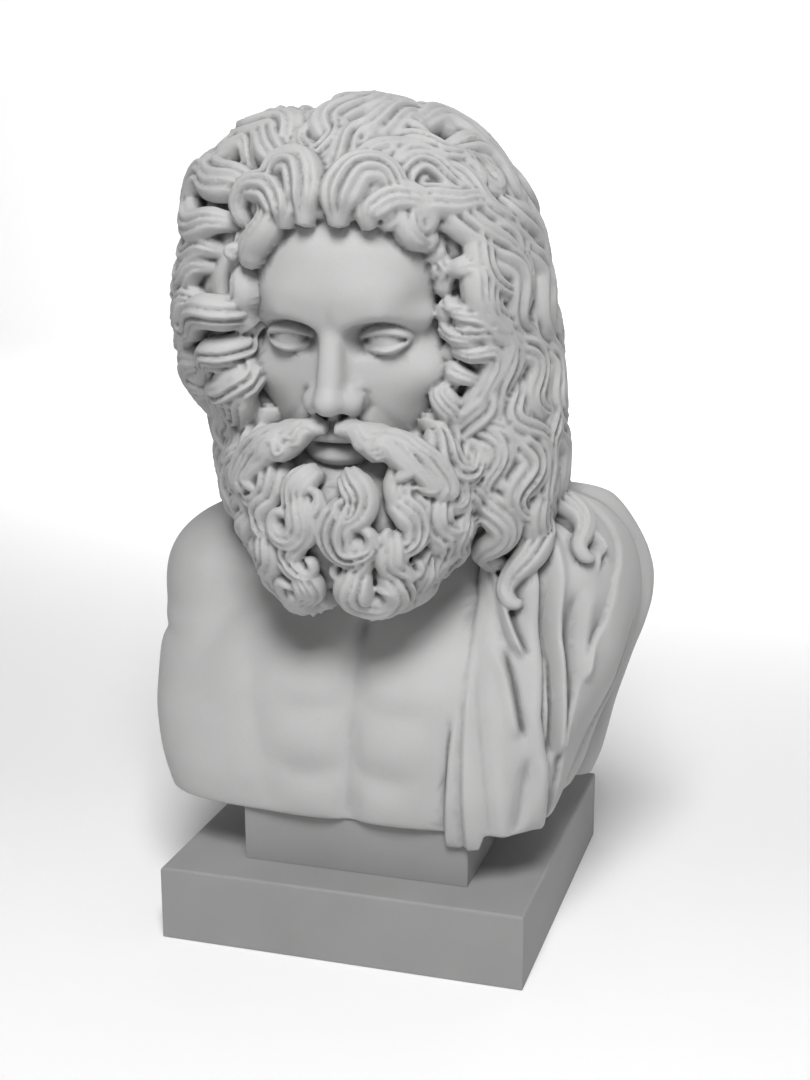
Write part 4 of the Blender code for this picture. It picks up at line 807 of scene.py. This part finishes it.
def add_forelocks(heap, rng):
    """Locks that stand up over the forehead and fall to its sides."""
    count = 48
    for root, reach, height, size in FORELOCKS:
        across = reach - root
        course = (
            (root, 88.0, FORELOCK_BASE),
            (root + 0.05 * across, 96.0, FORELOCK_BASE + 0.5 * height),
            (root + 0.35 * across, 92.0, FORELOCK_BASE + 0.95 * height),
            (root + 0.80 * across, 86.0, FORELOCK_BASE + 0.90 * height),
            (reach, 88.0, FORELOCK_BASE + 0.45 * height),
            (reach - 0.15 * across, 94.0, FORELOCK_BASE + 0.15 * height),
        )
        line = resample(np.array([from_head(q) for q in course]), count)
        line = resample(smoothed(line, 10), count)
        above = 0.005 + 0.010 * size * np.sin(math.pi * np.linspace(0, 1, count))
        line = smoothed(settle(skin_and_hair, line, above, 3), 6)
        heap.add(*sweep(line, slope(skin_and_hair, line), FORELOCK_WIDTH * size, FORELOCK_THICK * size, 4,
                        rng.integers(1 << 30), taper=0.55, root=0.45))

def add_crown(heap, rng):
    """Locks that cover the parting behind the crown."""
    for theta, number in CROWN_ROWS:
        around = np.linspace(-CROWN_REACH, CROWN_REACH, number)
        lengths = CROWN_LENGTH * rng.uniform(0.85, 1.15, number)
        lay_locks(
            heap, hair_mass, ring_starts(theta, around), lengths, hair_flow, rng,
            offset=-0.001,
            width=CROWN_WIDTH,
            swing=LOCK_SWING,
            waves=1.2,
            phases=rng.uniform(0, 2 * math.pi, number),
            curl=rng.uniform(150, 260, number),
        )

HAIR_SEED = 11
CROWN_SEED = 3
BEARD_SEED = 5

def add_hair(heap):
    rng = np.random.default_rng(HAIR_SEED)
    add_rings(heap, rng)
    add_hanging_tiers(heap, rng)
    add_hairline_tufts(heap, rng)
    add_forelocks(heap, rng)
    add_crown(heap, np.random.default_rng(CROWN_SEED))

def clear_of_lips(elevation):
    """Degrees to each side that a row of the beard leaves free for the lips."""
    if elevation < 24:
        return -1
    return 30 if elevation < 38 else 42

def add_beard_rows(heap, rng):
    """Rows of short locks with round curls. The rows beside the mouth leave the lips free."""
    for row, (elevation, pairs, reach, offset) in enumerate(BEARD_ROWS):
        step = reach / pairs
        az = step * (np.arange(pairs) + 0.5)
        az = np.concatenate([-az, az]) + rng.uniform(-2.5, 2.5, 2 * pairs)
        az = az[np.abs(az) > clear_of_lips(elevation)]
        a = np.radians(az)
        e = math.radians(elevation)
        ahead = -np.cos(a) * math.cos(e)
        out = np.stack([np.sin(a) * math.cos(e), ahead, np.full(len(a), math.sin(e))], 1)
        column = np.floor(np.abs(az) / step)
        lay_locks(
            heap, beard_mass, BEARD_C + OUTSIDE * out, BEARD_LENGTH * rng.uniform(0.85, 1.2, len(a)),
            beard_flow, rng,
            offset=offset,
            width=BEARD_WIDTH,
            swing=math.radians(30),
            waves=0.6,
            phases=math.pi * ((column + row) % 2) + 0.3,
            curl=rng.uniform(230, 330, len(a)),
            radius=BEARD_CURL, rise=0.007, taper=0.72,
        )

def add_moustache(heap, rng):
    """Locks that fan out from under the nose, over the beard, and hang at the sides of the mouth."""
    count = 44
    for side in (-1, 1):
        for k in range(MOUSTACHE_LOCKS):
            reach = 35.0 + 9.0 * k
            low = -108.0 + 3.0 * k
            course = (
                (3.0 + 2.0 * k, 102.0, -50.0 + 0.5 * k),
                (0.40 * reach, 104.0, -54.0 - 0.5 * k),
                (0.72 * reach, 101.0, -64.0 + 0.5 * k),
                (0.96 * reach, 94.0, 0.60 * low - 18.0),
                (1.04 * reach, 90.0, 0.85 * low - 9.0),
                (0.98 * reach, 90.0, low),
                (0.86 * reach, 93.0, low - 2.0),
            )
            line = np.array([from_head((side * q[0], q[1], q[2])) for q in course])
            line = resample(smoothed(resample(line, count), 5), count)
            above = 0.006 + 0.012 * ease(np.linspace(0, 1, count), 0.10, 0.50) - 0.0006 * k
            line = smoothed(settle(skin_and_beard, line, above, 3), 3)
            heap.add(*sweep(line, slope(skin_and_beard, line), MOUSTACHE_WIDTH, MOUSTACHE_THICK, 3,
                            rng.integers(1 << 30), taper=0.4))

def add_beard(heap):
    rng = np.random.default_rng(BEARD_SEED)
    add_beard_rows(heap, rng)
    add_moustache(heap, rng)

# The bust.

def largest_shell(mesh):
    """Deletes every closed shell but the largest, such as bubbles sealed in by overlapping locks."""
    edges = np.empty(len(mesh.edges) * 2, np.int32)
    mesh.edges.foreach_get("vertices", edges)
    edges = edges.reshape(-1, 2)
    label = np.arange(len(mesh.vertices))
    while True:
        low = np.minimum(label[edges[:, 0]], label[edges[:, 1]])
        new = label.copy()
        np.minimum.at(new, edges[:, 0], low)
        np.minimum.at(new, edges[:, 1], low)
        new = new[new]
        if np.array_equal(new, label):
            break
        label = new
    names, sizes = np.unique(label, return_counts=True)
    stray = label != names[np.argmax(sizes)]
    if stray.any():
        bm = bmesh.new()
        bm.from_mesh(mesh)
        bm.verts.ensure_lookup_table()
        bmesh.ops.delete(bm, geom=[bm.verts[i] for i in np.flatnonzero(stray)], context="VERTS")
        bm.to_mesh(mesh)
        bm.free()

def evaluated(obj, name):
    """The object's mesh as its modifiers leave it."""
    graph = bpy.context.evaluated_depsgraph_get()
    mesh = bpy.data.meshes.new_from_object(obj.evaluated_get(graph))
    mesh.name = name
    return mesh

def cut_body(p):
    return smooth_max(body(p), -p[2], EDGE_ROUND)

def cut_cloak(p):
    hem = np.where(p[1] < HEM_BACK, -HEM_DROP, 0.0)
    return smooth_max(cloak(p), hem - p[2], EDGE_ROUND)

def fields():
    """Body, cloak, head and hair masses as closed surfaces."""
    heap = Heap()
    heap.add(*sample(cut_body, BODY_SPACE, BODY_STEP))
    heap.add(*sample(cut_cloak, CLOAK_SPACE, CLOAK_STEP))
    heap.add(*sample(head, HEAD_SPACE, HEAD_STEP))
    heap.add(*sample(masses, HAIR_SPACE, BODY_STEP))
    return heap

def painted_shade_mask(mesh, rounds=14):
    """How far each point lies below its surroundings, from 0 on open ground to 1 in a deep groove; kept as
    the mask of the painted shade in the grooves.
    """
    count = len(mesh.vertices)
    points = np.empty(count * 3)
    mesh.vertices.foreach_get("co", points)
    points = points.reshape(-1, 3)
    normals = np.empty(count * 3)
    mesh.vertices.foreach_get("normal", normals)
    normals = normals.reshape(-1, 3)
    edges = np.empty(len(mesh.edges) * 2, np.int32)
    mesh.edges.foreach_get("vertices", edges)
    a, b = edges.reshape(-1, 2).T
    degree = np.bincount(a, minlength=count) + np.bincount(b, minlength=count)
    smooth = points
    for _ in range(rounds):
        total = np.zeros_like(points)
        for axis in range(3):
            total[:, axis] = np.bincount(a, smooth[b, axis], count)
            total[:, axis] += np.bincount(b, smooth[a, axis], count)
        smooth = total / np.maximum(degree, 1)[:, None]
    depth = np.sum((smooth - points) * normals, axis=1)
    for _ in range(2):
        total = np.bincount(a, depth[b], count) + np.bincount(b, depth[a], count)
        depth = 0.5 * depth + 0.5 * total / np.maximum(degree, 1)
    # mask of the painted shade: deeper points get darker colour, standing in for the shadow in them
    layer = mesh.attributes.new("groove_shade", "FLOAT", "POINT")
    layer.data.foreach_set("value", ease(depth, SHADE_START_DEPTH, SHADE_FULL_DEPTH).astype(np.float32))

def carve_bust(material):
    """Joins all forms into one skin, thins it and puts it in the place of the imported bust."""
    heap = fields()
    add_hair(heap)
    add_beard(heap)
    raw = mesh_object("bust_raw", np.concatenate(heap.points), np.concatenate(heap.faces))
    remesh = raw.modifiers.new("one_skin", "REMESH")
    remesh.mode = "VOXEL"
    remesh.voxel_size = VOXEL
    skin = evaluated(raw, "bust_skin")
    largest_shell(skin)
    skin_object = bpy.data.objects.new("bust_skin", skin)
    bpy.context.scene.collection.objects.link(skin_object)
    smooth = skin_object.modifiers.new("smooth", "SMOOTH")
    smooth.factor = 0.5
    smooth.iterations = SMOOTHING_ROUNDS
    skin_object.data = evaluated(skin_object, "bust_smooth")
    skin_object.modifiers.clear()
    # the mask for the painted shade that darkens the grooves
    painted_shade_mask(skin_object.data)
    decimate = skin_object.modifiers.new("decimate", "DECIMATE")
    decimate.ratio = BUST_TRIANGLES / (2 * len(skin.polygons))
    mesh = evaluated(skin_object, "carved_bust")
    bpy.data.objects.remove(raw)
    bpy.data.objects.remove(skin_object)
    mesh.transform(Matrix.Translation((0.0, 0.0, BASE)))
    mesh.shade_smooth()
    bust = bpy.data.objects.new("carved_bust", mesh)
    bust.data.materials.append(material)
    bpy.context.scene.collection.objects.link(bust)
    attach(bust, "root")
    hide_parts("bust")

# The stone.

BUST_TONE = 0.42
PLINTH_TONE = 0.275
# share of the tone left in the deepest grooves: painted shade standing in for the shadow there
GROOVE_SHADE_SHARE = 0.25
CLOUD_SCALE = 14.0
GRAIN_SCALE = 900.0
GRAIN_HEIGHT = 0.0005

def stone(name, tone, with_painted_shade):
    """Matte grey cast stone: cloudy tone, fine grain and, on the carving, grooves darkened with painted
    shade.
    """
    material = bpy.data.materials.new(name)
    material.use_nodes = True
    nodes = material.node_tree.nodes
    link = material.node_tree.links.new
    shader = nodes["Principled BSDF"]
    place = nodes.new("ShaderNodeTexCoord")
    clouds = nodes.new("ShaderNodeTexNoise")
    clouds.inputs["Scale"].default_value = CLOUD_SCALE
    clouds.inputs["Detail"].default_value = 5.0
    grain = nodes.new("ShaderNodeTexNoise")
    grain.inputs["Scale"].default_value = GRAIN_SCALE
    grain.inputs["Detail"].default_value = 3.0
    link(place.outputs["Object"], clouds.inputs["Vector"])
    link(place.outputs["Object"], grain.inputs["Vector"])
    ramp = nodes.new("ShaderNodeValToRGB")
    ramp.color_ramp.elements[0].position = 0.30
    ramp.color_ramp.elements[1].position = 0.72
    ramp.color_ramp.elements[0].color = (tone * 0.93, tone * 0.93, tone * 0.925, 1.0)
    ramp.color_ramp.elements[1].color = (tone * 1.04, tone * 1.04, tone * 1.035, 1.0)
    link(clouds.outputs["Fac"], ramp.inputs["Fac"])
    speck = nodes.new("ShaderNodeMix")
    speck.data_type = "RGBA"
    speck.blend_type = "MULTIPLY"
    speck.inputs["Factor"].default_value = 0.12
    link(ramp.outputs["Color"], speck.inputs["A"])
    link(grain.outputs["Fac"], speck.inputs["B"])
    colour = speck.outputs["Result"]
    # painted shade: the carving's grooves darken with their depth, standing in for the shadow that falls in
    # them
    if with_painted_shade:
        groove = nodes.new("ShaderNodeAttribute")
        groove.attribute_name = "groove_shade"
        groove_shade_mix = nodes.new("ShaderNodeMix")
        groove_shade_mix.data_type = "RGBA"
        painted_shade_tone = tone * GROOVE_SHADE_SHARE
        groove_shade_mix.inputs["B"].default_value = (painted_shade_tone, painted_shade_tone, painted_shade_tone, 1.0)
        link(groove.outputs["Fac"], groove_shade_mix.inputs["Factor"])
        link(colour, groove_shade_mix.inputs["A"])
        colour = groove_shade_mix.outputs["Result"]
    link(colour, shader.inputs["Base Color"])
    rough = nodes.new("ShaderNodeMapRange")
    rough.inputs["To Min"].default_value = 0.58
    rough.inputs["To Max"].default_value = 0.74
    link(clouds.outputs["Fac"], rough.inputs["Value"])
    link(rough.outputs["Result"], shader.inputs["Roughness"])
    shader.inputs["Specular IOR Level"].default_value = 0.35
    bump = nodes.new("ShaderNodeBump")
    bump.inputs["Strength"].default_value = 0.12
    bump.inputs["Distance"].default_value = GRAIN_HEIGHT
    link(grain.outputs["Fac"], bump.inputs["Height"])
    link(bump.outputs["Normal"], shader.inputs["Normal"])
    return material

def finish_node(node, material):
    """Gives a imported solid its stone."""
    obj = next(o for o in bpy.data.objects if o.name == node)
    obj.data.materials.clear()
    obj.data.materials.append(material)

# The studio.

FLOOR_FLAT = 4.0
FLOOR_BEND = 1.5
FLOOR_WALL = 3.0
FLOOR_SEGMENTS = 96
BEND_STEPS = 8
FLOOR_TONE = 0.90
FLOOR_DROP = 0.0005

def add_floor():
    """A pale round floor whose far edge curves up to a wall on every side."""
    profile = [(0.0, 0.0), (1.0, 0.0), (FLOOR_FLAT, 0.0)]
    for i in range(1, BEND_STEPS + 1):
        a = math.pi / 2 * i / BEND_STEPS
        profile.append((FLOOR_FLAT + FLOOR_BEND * math.sin(a), FLOOR_BEND * (1 - math.cos(a))))
    profile.append((FLOOR_FLAT + FLOOR_BEND, FLOOR_BEND + FLOOR_WALL))
    bm = bmesh.new()
    centre = bm.verts.new((0.0, 0.0, 0.0))
    rings = []
    for radius, height in profile[1:]:
        ring = []
        for i in range(FLOOR_SEGMENTS):
            a = 2 * math.pi * i / FLOOR_SEGMENTS
            ring.append(bm.verts.new((radius * math.cos(a), radius * math.sin(a), height)))
        rings.append(ring)
    for i in range(FLOOR_SEGMENTS):
        j = (i + 1) % FLOOR_SEGMENTS
        bm.faces.new((centre, rings[0][i], rings[0][j]))
        for inner, outer in zip(rings, rings[1:]):
            bm.faces.new((inner[i], outer[i], outer[j], inner[j]))
    mesh = bpy.data.meshes.new("floor")
    bm.to_mesh(mesh)
    bm.free()
    mesh.shade_smooth()
    floor = bpy.data.objects.new("floor", mesh)
    floor.location.z = -FLOOR_DROP
    bpy.context.scene.collection.objects.link(floor)
    material = bpy.data.materials.new("pale_floor")
    material.use_nodes = True
    shader = material.node_tree.nodes["Principled BSDF"]
    shader.inputs["Base Color"].default_value = (FLOOR_TONE, FLOOR_TONE, FLOOR_TONE, 1.0)
    shader.inputs["Roughness"].default_value = 0.9
    mesh.materials.append(material)

def add_light(name, place, aim, size, power):
    light = bpy.data.lights.new(name, "AREA")
    light.size = size
    light.energy = power
    obj = bpy.data.objects.new(name, light)
    obj.location = place
    obj.rotation_euler = (Vector(aim) - Vector(place)).to_track_quat("-Z", "Y").to_euler()
    bpy.context.scene.collection.objects.link(obj)

def add_lights():
    """A soft key from the front, high and a little to the right, and a lamp on the floor behind."""
    aim = (0.0, 0.0, 0.40)
    add_light("key", (0.38, -1.53, 2.21), aim, 0.9, 69.0)
    add_light("backdrop", (0.40, 2.40, 2.40), (0.2, 5.0, 0.0), 3.0, 150.0)
    world = bpy.data.worlds.new("studio")
    world.use_nodes = True
    background = world.node_tree.nodes["Background"]
    background.inputs["Color"].default_value = (1.0, 1.0, 1.0, 1.0)
    background.inputs["Strength"].default_value = 0.09
    bpy.context.scene.world = world

# Camera: the view solved from the slab's edges in the photo, which is 810 by 1080 pixels.
FOCAL_PIXELS = 1627.5
FRAME_HEIGHT = 1080
SENSOR = 36.0
VIEW_AZIMUTH = math.radians(16.808)
VIEW_ELEVATION = math.radians(14.051)
VIEW_DISTANCE = 1.34884
VIEW_CENTRE = Vector((0.01102, 0.0, 0.24829))

def add_camera():
    """The camera at the photo's view."""
    slab_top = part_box("plinth_slab")[1][2]
    camera = bpy.data.cameras.new("camera")
    camera.sensor_width = SENSOR
    camera.lens = FOCAL_PIXELS / FRAME_HEIGHT * SENSOR
    camera.clip_start = 0.05
    obj = bpy.data.objects.new("camera", camera)
    back = Vector((
        math.sin(VIEW_AZIMUTH) * math.cos(VIEW_ELEVATION),
        -math.cos(VIEW_AZIMUTH) * math.cos(VIEW_ELEVATION),
        math.sin(VIEW_ELEVATION),
    ))
    obj.location = VIEW_CENTRE + Vector((0.0, 0.0, slab_top)) + back * VIEW_DISTANCE
    obj.rotation_euler = (-back).to_track_quat("-Z", "Y").to_euler()
    bpy.context.scene.collection.objects.link(obj)
    bpy.context.scene.camera = obj

# the carving's stone carries painted shade in its grooves
carve_bust(stone("bust_stone", BUST_TONE, True))
finish_node("riser_block", stone("riser_stone", PLINTH_TONE, False))
finish_node("plinth_slab", stone("slab_stone", PLINTH_TONE, False))
add_floor()
add_lights()
add_camera()
bpy.context.scene.view_settings.view_transform = "Standard"
